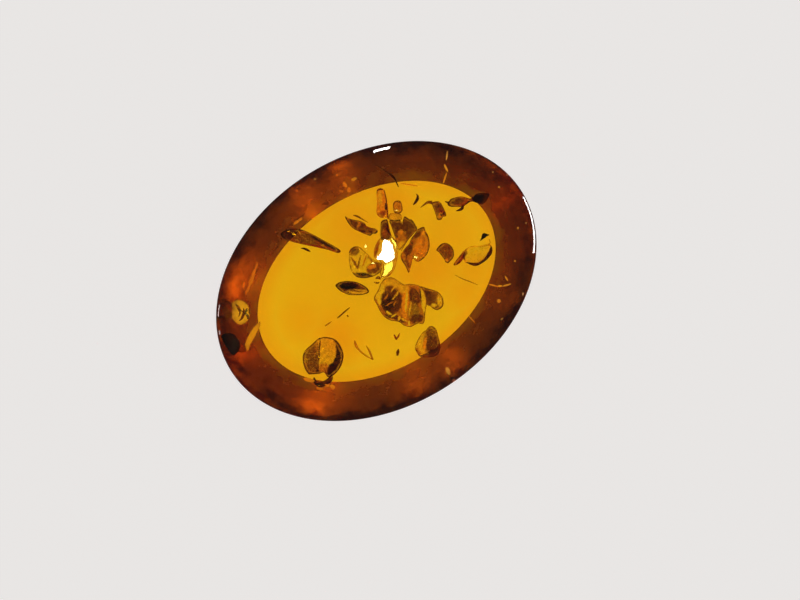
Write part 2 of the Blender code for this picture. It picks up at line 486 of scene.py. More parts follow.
@dataclass(frozen=True)
class CognacAmber:
    """Clear amber, heated until its skin darkened to cognac, then ground and polished.

    The depth of the resin takes out blue and then green, so thin places are lemon and long ways red-brown.
    The flank keeps its darkened skin and a finer grind, and its tint adds painted shade for the light lost on
    long ways inside, which gives the deep mottled ring. The skin and its painted shade are thickest at the
    girdle, and worn thin in a few spots that glow.
    """

    sighting: Sighting
    worn: tuple[WornSpot, ...]
    stains: tuple[SoftSpot, ...]
    # Absorption for each metre of way: little red, some green and nearly all blue.
    density: float = 1300.0
    red_taken: float = 14.0
    green_taken: float = 126.0
    blue_taken: float = 1250.0
    # The skin's tint at each share of the way from the flat back's edge up to the girdle, deepened with
    # painted shade towards the girdle.
    skin_and_shade: tuple[tuple[float, str], ...] = (
        (0.0, "#ffc890"), (0.06, "#ff9450"), (0.16, "#ec5c30"), (0.36, "#b43226"),
        (0.56, "#6c1a1e"), (0.78, "#340c1a"), (1.0, "#0c0408"),
    )
    # Painted shade makes the tint darker towards the ends of the oval, from this far out, in millimetres.
    shade_at_ends: str = "#200810"
    ends_from: float = 6.9
    ends_full: float = 9.0
    ends_share: float = 0.85
    # Painted shade darkens the girdle, and thins out up the dome to this height.
    rim_shade: str = "#48181e"
    rim_to: float = 4.4
    rim_drift: float = 2.0
    stain: str = "#ff9a3c"
    rough_low: float = 0.34
    rough_high: float = 0.06
    rough_back: float = 0.3
    edge_stain: float = 0.55
    cloud_mm: float = 0.9
    cloud_swing: float = 0.24
    # Real grinding marks are far finer, and wouldn't show.
    grain_mm: float = 0.14
    grain_swing: float = 0.25
    # How far noise pushes the outline of a soft spot about, in millimetres.
    ragged_mm: float = 0.5
    # Heights in millimetres between which one part of the skin gives way to the next.
    back_top: tuple[float, float] = (0.02, 0.01)
    flank_foot: tuple[float, float] = (0.01, 0.06)
    flank_top: tuple[float, float] = (3.38, 3.24)
    rim_foot: tuple[float, float] = (1.6, 1.92)
    # Shares of the flank's height and of the flat back's width.
    ground_until: float = 0.8
    edge_from: float = 0.8

    def material(self) -> bpy.types.Material:
        """Build the one material of the whole stone, with its skin and painted shade set by height and place.

        Returns:
            The material.
        """
        made = bpy.data.materials.new("cognac_amber")
        made.use_nodes = True
        tree = made.node_tree
        surface = tree.nodes["Principled BSDF"]
        surface.inputs["Transmission Weight"].default_value = 1.0
        surface.inputs["IOR"].default_value = AMBER_IOR
        where = add_node(tree, "ShaderNodeTexCoord").outputs["Object"]
        height = add_node(tree, "ShaderNodeSeparateXYZ", links={0: where}).outputs["Z"]
        flank = self.flank_share(tree, height)
        back = self.back_share(tree, height)
        glow = self.spot_share(tree, where, self.worn)
        clouds = self.mottle(tree, where, self.cloud_mm, self.cloud_swing)
        grain = self.mottle(tree, where, self.grain_mm, self.grain_swing)
        climb = add_node(tree, "ShaderNodeMapRange", {
            "in:1": 0.0, "in:2": self.sighting.section.girdle_height * MM,
        }, {0: height}).outputs[0]
        uneven = add_node(tree, "ShaderNodeMath", {"operation": "ADD"}, {0: climb, 1: clouds}).outputs[0]
        along = add_node(tree, "ShaderNodeSeparateXYZ", links={0: where}).outputs["X"]
        far = add_node(tree, "ShaderNodeMath", {"operation": "ABSOLUTE"}, {0: along}).outputs[0]
        # Painted shade, darker towards the ends of the oval.
        ends = add_node(tree, "ShaderNodeMapRange", {
            "interpolation_type": "SMOOTHSTEP",
            "in:1": self.ends_from * MM, "in:2": self.ends_full * MM, "in:3": 0.0, "in:4": self.ends_share,
        }, {0: far}).outputs[0]
        # The skin's own colour with painted shade, deepening up the flank.
        skin_and_shade = add_node(
            tree, "ShaderNodeMix", {"data_type": "RGBA", "in:7": linear(self.shade_at_ends)},
            {0: ends, 6: self.skin_and_shade_tint(tree, uneven)},
        ).outputs[2]
        grained = add_node(
            tree, "ShaderNodeMath", {"operation": "ADD", "in:1": 1.0}, {0: grain},
        ).outputs[0]
        flecked = add_node(
            tree, "ShaderNodeVectorMath", {"operation": "SCALE"}, {0: skin_and_shade, "Scale": grained},
        ).outputs[0]
        glowing = flecked
        for spot in self.worn:
            share = self.spot_share(tree, where, (spot,))
            glowing = add_node(
                tree, "ShaderNodeMix", {"data_type": "RGBA", "in:7": linear(spot.tint)},
                {0: share, 6: glowing},
            ).outputs[2]
        stained = add_node(
            tree, "ShaderNodeMix",
            {"data_type": "RGBA", "in:6": (1.0, 1.0, 1.0, 1.0), "in:7": linear(self.stain)},
            {0: self.back_stain(tree, where, back)},
        ).outputs[2]
        # Painted shade on the girdle, thinning out up the dome.
        rimmed = add_node(
            tree, "ShaderNodeMix", {"data_type": "RGBA", "in:7": linear(self.rim_shade)},
            {0: self.rim_share(tree, height, clouds), 6: stained},
        ).outputs[2]
        colour = add_node(
            tree, "ShaderNodeMix", {"data_type": "RGBA"}, {0: flank, 6: rimmed, 7: glowing},
        ).outputs[2]
        tree.links.new(colour, surface.inputs["Base Color"])
        tree.links.new(self.grind(tree, uneven, flank, back, glow), surface.inputs["Roughness"])
        taken = (self.red_taken, self.green_taken, self.blue_taken)
        body = add_node(tree, "ShaderNodeVolumeAbsorption", {
            "in:Density": self.density,
            "in:Color": (*(1.0 - each / self.density for each in taken), 1.0),
        })
        tree.links.new(body.outputs[0], tree.nodes["Material Output"].inputs["Volume"])
        return made

    def skin_and_shade_tint(self, tree: bpy.types.NodeTree, climb: bpy.types.NodeSocket) -> bpy.types.NodeSocket:
        """Return the skin's tint, deepened with painted shade, for how far up the flank a place is.

        Args:
            tree: The node tree to add to.
            climb: Shares of the flank's height, with clouds added.

        Returns:
            The tint's socket.
        """
        ramp = add_node(tree, "ShaderNodeValToRGB", links={0: climb})
        stops = ramp.color_ramp.elements
        while len(stops) < len(self.skin_and_shade):
            stops.new(1.0)
        for stop, (share, tint) in zip(stops, self.skin_and_shade):
            stop.position = share
            stop.color = linear(tint)
        return ramp.outputs[0]

    def grind(
        self, tree: bpy.types.NodeTree, climb: bpy.types.NodeSocket, flank: bpy.types.NodeSocket,
        back: bpy.types.NodeSocket, worn: bpy.types.NodeSocket,
    ) -> bpy.types.NodeSocket:
        """Return the roughness: ground on the flat back and low on the flank, polished elsewhere.

        Args:
            tree: The node tree to add to.
            climb: Shares of the flank's height, with clouds added.
            flank: 1 on the flank.
            back: 1 on the flat back.
            worn: How far the skin is worn away.

        Returns:
            The roughness's socket.
        """
        rough = add_node(tree, "ShaderNodeMapRange", {
            "in:1": 0.0, "in:2": self.ground_until, "in:3": self.rough_low, "in:4": self.rough_high,
        }, {0: climb}).outputs[0]
        sound = add_node(tree, "ShaderNodeMath", {"operation": "SUBTRACT", "in:0": 1.0}, {1: worn}).outputs[0]
        unworn = add_node(tree, "ShaderNodeMath", {"operation": "MULTIPLY"}, {0: flank, 1: sound}).outputs[0]
        ground_flank = add_node(
            tree, "ShaderNodeMath", {"operation": "MULTIPLY"}, {0: rough, 1: unworn},
        ).outputs[0]
        ground_back = add_node(
            tree, "ShaderNodeMath", {"operation": "MULTIPLY", "in:1": self.rough_back}, {0: back},
        ).outputs[0]
        return add_node(
            tree, "ShaderNodeMath", {"operation": "ADD"}, {0: ground_flank, 1: ground_back},
        ).outputs[0]

    def height_step(
        self, tree: bpy.types.NodeTree, height: bpy.types.NodeSocket, ends: tuple[float, float], easing: str,
    ) -> bpy.types.NodeSocket:
        """Ease from 0 to 1 between two heights.

        Args:
            tree: The node tree to add to.
            height: Heights over the flat back.
            ends: The heights of 0 and of 1, in millimetres.
            easing: Blender's name for the way from one to the other.

        Returns:
            The share's socket.
        """
        return add_node(tree, "ShaderNodeMapRange", {
            "interpolation_type": easing, "in:1": ends[0] * MM, "in:2": ends[1] * MM,
        }, {0: height}).outputs[0]

    def back_share(self, tree: bpy.types.NodeTree, height: bpy.types.NodeSocket) -> bpy.types.NodeSocket:
        """Return 1 on the flat back and 0 elsewhere."""
        return self.height_step(tree, height, self.back_top, "LINEAR")

    def flank_share(self, tree: bpy.types.NodeTree, height: bpy.types.NodeSocket) -> bpy.types.NodeSocket:
        """Return 1 on the flank and 0 on the flat back, the girdle and the dome.

        Args:
            tree: The node tree to add to.
            height: Heights over the flat back.

        Returns:
            The share's socket.
        """
        rise = self.height_step(tree, height, self.flank_foot, "SMOOTHSTEP")
        fall = self.height_step(tree, height, self.flank_top, "SMOOTHSTEP")
        return add_node(tree, "ShaderNodeMath", {"operation": "MULTIPLY"}, {0: rise, 1: fall}).outputs[0]

    def rim_share(
        self, tree: bpy.types.NodeTree, height: bpy.types.NodeSocket, clouds: bpy.types.NodeSocket,
    ) -> bpy.types.NodeSocket:
        """Return the share of painted shade: 1 on the girdle, easing cloudily to 0 up the dome, and 0 below
        on the flat back.

        Args:
            tree: The node tree to add to.
            height: Heights over the flat back.
            clouds: A cloudy pattern about zero.

        Returns:
            The share's socket.
        """
        drift = add_node(
            tree, "ShaderNodeMath", {"operation": "MULTIPLY", "in:1": self.rim_drift * MM}, {0: clouds},
        ).outputs[0]
        drifted = add_node(tree, "ShaderNodeMath", {"operation": "ADD"}, {0: height, 1: drift}).outputs[0]
        girdle = self.sighting.section.girdle_height
        thinning = self.height_step(tree, drifted, (self.rim_to, girdle), "SMOOTHSTEP")
        above = self.height_step(tree, height, self.rim_foot, "LINEAR")
        return add_node(tree, "ShaderNodeMath", {"operation": "MULTIPLY"}, {0: thinning, 1: above}).outputs[0]

    def back_stain(
        self, tree: bpy.types.NodeTree, where: bpy.types.NodeSocket, back: bpy.types.NodeSocket,
    ) -> bpy.types.NodeSocket:
        """Return how stained the flat back is, in soft spots and towards its edge.

        Args:
            tree: The node tree to add to.
            where: Places on the stone.
            back: 1 on the flat back.

        Returns:
            The share's socket.
        """
        section = self.sighting.section
        along, across = section.half_length - section.flank_inset, section.half_width - section.flank_inset
        shares = Vector((1.0 / along, 1.0 / across, 0.0)) / MM
        scaled = add_node(
            tree, "ShaderNodeVectorMath", {"operation": "MULTIPLY", "in:1": shares}, {0: where},
        ).outputs[0]
        out = add_node(tree, "ShaderNodeVectorMath", {"operation": "LENGTH"}, {0: scaled}).outputs["Value"]
        edge = add_node(tree, "ShaderNodeMapRange", {
            "interpolation_type": "SMOOTHSTEP",
            "in:1": self.edge_from, "in:2": 1.0, "in:3": 0.0, "in:4": self.edge_stain,
        }, {0: out}).outputs[0]
        spots = self.spot_share(tree, where, self.stains)
        most = add_node(tree, "ShaderNodeMath", {"operation": "MAXIMUM"}, {0: spots, 1: edge}).outputs[0]
        return add_node(tree, "ShaderNodeMath", {"operation": "MULTIPLY"}, {0: most, 1: back}).outputs[0]

    def spot_share(
        self, tree: bpy.types.NodeTree, where: bpy.types.NodeSocket, spots: tuple[SoftSpot | WornSpot, ...],
    ) -> bpy.types.NodeSocket:
        """Return the strength of all the soft spots at a place, each with a ragged edge.

        Args:
            tree: The node tree to add to.
            where: Places on the stone.
            spots: One spot or more.

        Returns:
            The share's socket.
        """
        push = self.ragged_mm * MM
        ragged = add_node(
            tree, "ShaderNodeTexNoise", {"in:Scale": 1.0 / push, "in:Detail": 2.0}, {"Vector": where},
        ).outputs[1]
        pushed = add_node(
            tree, "ShaderNodeVectorMath", {"operation": "SCALE", "in:Scale": push}, {0: ragged},
        ).outputs[0]
        shifted = add_node(
            tree, "ShaderNodeVectorMath", {"operation": "ADD"}, {0: where, 1: pushed},
        ).outputs[0]
        middle = Vector((push, push, push)) / 2
        shares = []
        for spot in spots:
            if isinstance(spot, WornSpot):
                place = spot.place * MM + middle
            else:
                place = self.sighting.on_back(spot.px, spot.py) * MM + middle
            away = add_node(
                tree, "ShaderNodeVectorMath", {"operation": "DISTANCE", "in:1": place}, {0: shifted},
            ).outputs["Value"]
            shares.append(add_node(tree, "ShaderNodeMapRange", {
                "interpolation_type": "SMOOTHSTEP",
                "in:1": spot.radius * MM, "in:2": 0.0, "in:3": 0.0, "in:4": spot.strength,
            }, {0: away}).outputs[0])
        total = shares[0]
        for share in shares[1:]:
            total = add_node(
                tree, "ShaderNodeMath", {"operation": "MAXIMUM"}, {0: total, 1: share},
            ).outputs[0]
        return total

    def mottle(
        self, tree: bpy.types.NodeTree, where: bpy.types.NodeSocket, size: float, swing: float,
    ) -> bpy.types.NodeSocket:
        """Return a cloudy pattern about zero.

        Args:
            tree: The node tree to add to.
            where: Places on the stone.
            size: Millimetres from cloud to cloud.
            swing: How far the pattern goes to either side of zero.

        Returns:
            The pattern's socket.
        """
        clouds = add_node(tree, "ShaderNodeTexNoise", {
            "in:Scale": 1.0 / (size * MM), "in:Detail": 4.0, "in:Roughness": 0.6,
        }, {"Vector": where}).outputs[0]
        return add_node(tree, "ShaderNodeMapRange", {
            "in:1": NOISE_LOW, "in:2": NOISE_HIGH, "in:3": -swing, "in:4": swing,
        }, {0: clouds}).outputs[0]


@dataclass(frozen=True)
class Cabochon:
    """The clear stone itself: flat back, flank, girdle and dome in one closed skin."""

    section: Section
    around: int = 256
    back_rings: int = 6
    flank_rings: int = 22
    girdle_rings: int = 14
    dome_rings: int = 48

    def rings(self) -> list[tuple[float, float, float]]:
        """Return semi-axes and height, in millimetres, of every ring from the flat back's middle upwards.

        Returns:
            The two semi-axes and the height of each ring.
        """
        section = self.section
        found = []
        edge = section.flank_inset
        for step in range(1, self.back_rings + 1):
            share = step / (self.back_rings + 1)
            found.append(((section.half_length - edge) * share, (section.half_width - edge) * share, 0.0))
        insets = []
        for step in range(self.flank_rings + 1):
            insets.append(section.flank_point(step / self.flank_rings))
        for step in range(1, self.girdle_rings + 1):
            sweep = section.girdle_high - section.girdle_low
            insets.append(section.girdle_point(section.girdle_low + sweep * step / self.girdle_rings))
        for inset, height in insets:
            found.append((section.half_length - inset, section.half_width - inset, height))
        foot = math.acos(section.dome_cut)
        semi_x, semi_y = section.dome_semi_axes()
        up = section.dome_radius_up
        for step in range(1, self.dome_rings):
            angle = foot + (math.pi / 2 - foot) * step / self.dome_rings
            across = math.cos(angle)
            found.append((semi_x * across, semi_y * across, section.height - up + up * math.sin(angle)))
        return found

    def build(self) -> bpy.types.Object:
        """Loft the rings and close them with the middle of the back and the top of the dome.

        Returns:
            The stone.
        """
        shape = bmesh.new()
        loops = []
        for semi_x, semi_y, height in self.rings():
            loop = []
            for step in range(self.around):
                turn = TAU * step / self.around
                place = Vector((semi_x * math.cos(turn), semi_y * math.sin(turn), height))
                loop.append(shape.verts.new(place * MM))
            loops.append(loop)
        bottom = shape.verts.new((0.0, 0.0, 0.0))
        top = shape.verts.new((0.0, 0.0, self.section.height * MM))
        for step in range(self.around):
            after = (step + 1) % self.around
            shape.faces.new((bottom, loops[0][after], loops[0][step]))
            shape.faces.new((loops[-1][step], loops[-1][after], top))
            for lower, upper in zip(loops, loops[1:]):
                shape.faces.new((lower[step], lower[after], upper[after], upper[step]))
        return object_from(shape, "clear_amber_stone", CRISP_STONE)


class Tone(Enum):
    """What a crack does to the light behind it, painted as a tint on the stone's own yellow; the darker tones
    are painted shade where the gap's walls turn light aside.
    """

    CLEAR = "#ffffff"
    OCHRE = "#f4e09a"
    ORANGE = "#f6b440"
    AMBER_BROWN = "#c48c34"
    RUSSET = "#9c5028"
    OLIVE = "#9a8428"
    BROWN = "#80561c"
    UMBER = "#643c14"
    DARK = "#40240c"
    BLACK = "#1c1008"


@dataclass(frozen=True)
class Patch:
    """An oval of another tone on a crack, in pixels; outside means that it fills all but the oval."""

    px: float
    py: float
    half_long: float
    half_short: float
    turn: float
    tone: Tone
    soft: float = 0.3
    outside: bool = False

    def share(self, px: float, py: float) -> float:
        """Return how much of the patch's tone shows at a pixel.

        Args:
            px: Pixels from the picture's left.
            py: Pixels from its top.

        Returns:
            0 for none of it, up to 1.
        """
        turn = math.radians(self.turn)
        right, down = px - self.px, py - self.py
        along = right * math.cos(turn) + down * math.sin(turn)
        across = down * math.cos(turn) - right * math.sin(turn)
        reach = math.hypot(along / self.half_long, across / self.half_short)
        inside = smooth_step(1.0 + self.soft / 2, 1.0 - self.soft / 2, reach)
        return 1.0 - inside if self.outside else inside


@dataclass(frozen=True)
class StressCrack:
    """A paper-thin air gap that heat opened in the amber.

    Its two walls are mirror-smooth fracture faces. Where light slips through they show as a faint oval,
    and where they turn it aside they look bronze, brown or black, so the tint is painted from place to place.
    """

    roughness: float = 0.03
    opaque_roughness: float = 0.12
    # Drawn coarser than the fine ridges of a real fracture face, so that it shows.
    grain_mm: float = 0.08
    clear_grain: tuple[float, float] = (0.88, 1.05)
    dark_grain: tuple[float, float] = (0.5, 1.6)
    # A wall that passes less light than this counts as closed.
    closed_below: float = 0.05

    def clear_wall(self) -> bpy.types.Material:
        """Build the finish of walls that light slips through.

        Returns:
            The material.
        """
        made = bpy.data.materials.new("stress_crack_clear")
        made.use_nodes = True
        tree = made.node_tree
        surface = tree.nodes["Principled BSDF"]
        surface.inputs["Transmission Weight"].default_value = 1.0
        surface.inputs["IOR"].default_value = AMBER_IOR
        surface.inputs["Roughness"].default_value = self.roughness
        tree.links.new(self.grained(tree, *self.clear_grain), surface.inputs["Base Color"])
        return made

    def dark_wall(self) -> bpy.types.Material:
        """Build the finish of walls that send all light aside: opaque, with painted shade in bronze and
        brown, and a dull shine.

        Returns:
            The material.
        """
        made = bpy.data.materials.new("stress_crack_painted_shade")
        made.use_nodes = True
        tree = made.node_tree
        surface = tree.nodes["Principled BSDF"]
        surface.inputs["IOR"].default_value = AMBER_IOR
        surface.inputs["Roughness"].default_value = self.opaque_roughness
        tree.links.new(self.grained(tree, *self.dark_grain), surface.inputs["Base Color"])
        return made

    def grained(self, tree: bpy.types.NodeTree, low: float, high: float) -> bpy.types.NodeSocket:
        """Return the painted tint, made a little uneven from grain to grain.

        Args:
            tree: The node tree to add to.
            low: What the darkest grain multiplies the tint by.
            high: The same for the palest.

        Returns:
            The tint's socket.
        """
        tint = add_node(tree, "ShaderNodeAttribute", {"attribute_name": "tint"}).outputs["Color"]
        where = add_node(tree, "ShaderNodeTexCoord").outputs["Object"]
        grain = add_node(tree, "ShaderNodeTexNoise", {
            "in:Scale": 1.0 / (self.grain_mm * MM), "in:Detail": 3.0, "in:Roughness": 0.7,
        }, {"Vector": where}).outputs[0]
        share = add_node(tree, "ShaderNodeMapRange", {
            "in:1": NOISE_LOW, "in:2": NOISE_HIGH, "in:3": low, "in:4": high,
        }, {0: grain}).outputs[0]
        return add_node(
            tree, "ShaderNodeVectorMath", {"operation": "SCALE"}, {0: tint, "Scale": share},
        ).outputs[0]


def closed_curve(corners: tuple[tuple[float, float], ...], spacing: float) -> list[tuple[float, float]]:
    """Draw a smooth closed curve through its corners.

    Args:
        corners: Pixels that the curve passes through, in order.
        spacing: About how many pixels apart its points lie.

    Returns:
        The curve's points.
    """
    found = []
    count = len(corners)
    for index in range(count):
        before, here, after, beyond = (Vector(corners[(index + step) % count]) for step in (-1, 0, 1, 2))
        pieces = max(2, round((after - here).length / spacing))
        for piece in range(pieces):
            t = piece / pieces
            point = here * 2.0 + (after - before) * t
            point += (before * 2.0 - here * 5.0 + after * 4.0 - beyond) * t**2
            point += (here * 3.0 - before - after * 3.0 + beyond) * t**3
            found.append((point.x / 2.0, point.y / 2.0))
    return found


class Facing(Enum):
    """What a crack's face is turned to."""

    AS_LEANT = "nothing, it lies as its own lean says"
    LAMP = "the small lamp beside the overhead one"
    FLANK = "the bright floor, past the flank nearest to it"


@dataclass(frozen=True)
class Spangle:
    """A disc-like stress crack, drawn by its outline in the picture and laid in the stone at a depth, its
    walls tinted with painted shade and painted light.
    """

    name: str
    corners: tuple[tuple[float, float], ...]
    tone: Tone
    share: float = 0.5
    lean: tuple[float, float] = (0.0, 0.0)
    # The rim's tone: painted shade by default, where the gap's edge turns light aside.
    rim: Tone = Tone.DARK
    rim_width: float = 1.0
    patches: tuple[Patch, ...] = ()
    dish: float = 0.12
    ripple: float = 0.0
    thickness: float = 0.06
    middle: tuple[float, float] | None = None
    spacing: float = 0.8
    facing: Facing = Facing.AS_LEANT
    flank_degrees: float = 65.0
    # How far the skin and its painted shade are worn away where a face that is turned to the flank looks out.
    worn: float = 0.0
    worn_tint: str = "#ffc860"
    # How strongly pale veins, grain and the painted highlight inside the rim are drawn.
    veins: float = 0.5
    grain: float = 0.3
    rim_highlight: float = 0.45
    # Sizes of the noises in pixels: what pushes the patches about, veins, ripple, and how the rim varies.
    wander: float = 0.8
    wander_size: float = 3.0
    vein_size: float = 2.6
    vein_width: float = 0.12
    ripple_size: float = 5.0
    rim_size: float = 4.0
    rim_change: float = 0.5
    broad_size: float = 3.2
    fine_size: float = 1.1
    # Millimetres that a worn spot reaches past what the face looks out through.
    worn_margin: float = 0.6
    least_rings: int = 5

    def centre(self) -> tuple[float, float]:
        """Return the pixel that the outline is drawn in towards.

        Returns:
            Pixels from the picture's left and top.
        """
        if self.middle:
            return self.middle
        count = len(self.corners)
        return sum(x for x, _ in self.corners) / count, sum(y for _, y in self.corners) / count

    def tint(self, px: float, py: float, from_rim: float) -> tuple[float, float, float, float]:
        """Mix the painted tone at a pixel: painted shade where the gap turns light aside, paler where light
        slips through.

        Args:
            px: Pixels from the picture's left.
            py: Pixels from its top.
            from_rim: Pixels in from the outline.

        Returns:
            The tint as a linear colour.
        """
        # The share times a large number gives each crack a noise of its own.
        shift = noise.noise_vector(Vector((px / self.wander_size, py / self.wander_size, self.share * 40.0)))
        shift *= self.wander
        colour = Vector(linear(self.tone.value))
        for patch in self.patches:
            colour = colour.lerp(Vector(linear(patch.tone.value)), patch.share(px + shift.x, py + shift.y))
        vein = 1.0 - abs(pixel_noise(px, py, self.vein_size, self.share * 70.0)) / self.vein_width
        # Closed, dark parts show no veins.
        vein *= smooth_step(0.02, 0.3, colour.x)
        pale = Vector(linear(Tone.OCHRE.value))
        colour = colour.lerp(pale, self.veins * max(0.0, vein))
        width = self.rim_width * (1.0 + self.rim_change * pixel_noise(px, py, self.rim_size, 7.0))
        # A painted highlight, a pale line, runs round just inside the rim's painted shade.
        inner = smooth_step(width * 1.1, width * 1.7, from_rim)
        inner *= smooth_step(width * 3.2, width * 1.8, from_rim)
        colour = colour.lerp(pale, self.rim_highlight * inner)
        # The rim is painted shade, where the gap's curled edge turns light aside.
        colour = colour.lerp(Vector(linear(self.rim.value)), smooth_step(width * 1.3, width * 0.7, from_rim))
        broad = pixel_noise(px, py, self.broad_size, 3.0)
        fine = pixel_noise(px, py, self.fine_size, 5.0)
        colour *= 1.0 + self.grain * (broad + fine)
        return tuple(min(1.0, max(0.0, each)) for each in colour)

    def height(
        self, sighting: Sighting, lamp: Vector, px: float, py: float, base: float, across: float,
    ) -> float:
        """Return the crack's middle height at a pixel, leaning, dished and rippled, in millimetres.

        Args:
            sighting: How pixels reach into the stone.
            lamp: The small lamp's place, in millimetres.
            px: Pixels from the picture's left.
            py: Pixels from its top.
            base: The crack's height at its middle.
            across: 0 at the middle and 1 at the rim.

        Returns:
            The height.
        """
        middle_x, middle_y = self.centre()
        right, down = (px - middle_x) * sighting.pixel, (py - middle_y) * sighting.pixel
        if self.facing is Facing.LAMP:
            there = sighting.lamp_lean(px, py, base, lamp)
            lean = ((self.lean[0] + there[0]) / 2, (self.lean[1] + there[1]) / 2)
            return base + lean[0] * right + lean[1] * down
        wave = self.ripple * pixel_noise(px, py, self.ripple_size, self.share * 90.0)
        bowl = self.dish * (1.0 - across**2)
        return base + self.lean[0] * right + self.lean[1] * down - bowl + wave

    def base(self, sighting: Sighting) -> float:
        """Return the height of the crack's middle, in millimetres.

        Args:
            sighting: How pixels reach into the stone.

        Returns:
            The height.
        """
        px, py = self.centre()
        entry, _inside, _normal = sighting.enter(px, py)
        return entry.z + (sighting.on_back(px, py).z - entry.z) * self.share

    def worn_spot(self, sighting: Sighting) -> WornSpot:
        """Return the place on the flank that the crack's face looks out through.

        Args:
            sighting: How pixels reach into the stone.

        Returns:
            The spot.
        """
        px, py = self.centre()
        reach = max(math.hypot(x - px, y - py) for x, y in self.corners) * sighting.pixel
        place = sighting.flank_exit(px, py, self.base(sighting), self.flank_degrees)
        return WornSpot(place, reach + self.worn_margin, self.worn, self.worn_tint)

    def turned(self, sighting: Sighting, lamp: Vector, base: float) -> tuple[float, float]:
        """Return the lean that turns the crack's face to what it faces.

        Args:
            sighting: How pixels reach into the stone.
            lamp: The small lamp's place, in millimetres.
            base: The crack's height at its middle.

        Returns:
            The rises to the right and down.
        """
        px, py = self.centre()
        if self.facing is Facing.LAMP:
            return sighting.lamp_lean(px, py, base, lamp)
        if self.facing is Facing.FLANK:
            return sighting.outward_lean(px, py, base, self.flank_degrees)
        return self.lean

    def build(self, sighting: Sighting, lamp: Vector) -> bpy.types.Object:
        """Make the gap's two walls, joined at the rim, with their faces turned into the gap.

        Args:
            sighting: How pixels reach into the stone.
            lamp: The small lamp's place, in millimetres.

        Returns:
            The crack.
        """
        middle_x, middle_y = self.centre()
        rim = closed_curve(self.corners, self.spacing)
        reach = sum(math.hypot(x - middle_x, y - middle_y) for x, y in rim) / len(rim)
        rings = max(self.least_rings, round(reach / self.spacing))
        base = self.base(sighting)
        leant = replace(self, lean=self.turned(sighting, lamp, base))
        shape = bmesh.new()
        layer = shape.verts.layers.float_color.new("tint")
        walls = []
        for side in (-1.0, 1.0):
            loops = []
            for ring in range(rings):
                across = 1.0 - ring / rings
                loops.append([
                    leant.add_point(shape, layer, sighting, lamp, base, side, across, reach,
                                    middle_x + (x - middle_x) * across, middle_y + (y - middle_y) * across)
                    for x, y in rim
                ])
            last = leant.add_point(shape, layer, sighting, lamp, base, side, 0.0, reach, middle_x, middle_y)
            walls.append((loops, last))
        self.close(shape, walls, len(rim))
        gap = object_from(shape, self.name, CRISP_GAP)
        gap.data.attributes.active_color_name = "tint"
        return gap

    def add_point(
        self, shape: bmesh.types.BMesh, layer: object, sighting: Sighting, lamp: Vector, base: float,
        side: float, across: float, reach: float, px: float, py: float,
    ) -> bmesh.types.BMVert:
        """Add one painted point of a wall.

        Args:
            shape: The shape to add to.
            layer: Its colour layer.
            sighting: How pixels reach into the stone.
            lamp: The small lamp's place.
            base: The crack's height at its middle.
            side: 1 for the upper wall and -1 for the lower.
            across: 0 at the middle and 1 at the rim.
            reach: The mean distance from middle to rim, in pixels.
            px: Pixels from the picture's left.
            py: Pixels from its top.

        Returns:
            The new point.
        """
        # The high power keeps the gap even almost to its rim.
        belly = self.thickness / 2 * math.sqrt(max(0.0, 1.0 - across**6))
        height = self.height(sighting, lamp, px, py, base, across) + side * belly
        vert = shape.verts.new(sighting.at_height(px, py, height) * MM)
        vert[layer] = self.tint(px, py, (1.0 - across) * reach)
        return vert

    def close(self, shape: bmesh.types.BMesh, walls: list, count: int) -> None:
        """Join the points of both walls into one closed skin.

        Args:
            shape: The shape to add to.
            walls: The rings of points and the middle point of each wall.
            count: How many points a ring has.
        """
        (low_loops, low_last), (high_loops, high_last) = walls
        for step in range(count):
            after = (step + 1) % count
            for loops, last, flip in ((low_loops, low_last, True), (high_loops, high_last, False)):
                for outer, inner in zip(loops, loops[1:]):
                    corners = (outer[step], outer[after], inner[after], inner[step])
                    shape.faces.new(corners[::-1] if flip else corners)
                tip = (loops[-1][step], loops[-1][after], last)
                shape.faces.new(tip[::-1] if flip else tip)
            high, low = high_loops[0], low_loops[0]
            shape.faces.new((high[after], high[step], low[step], low[after]))


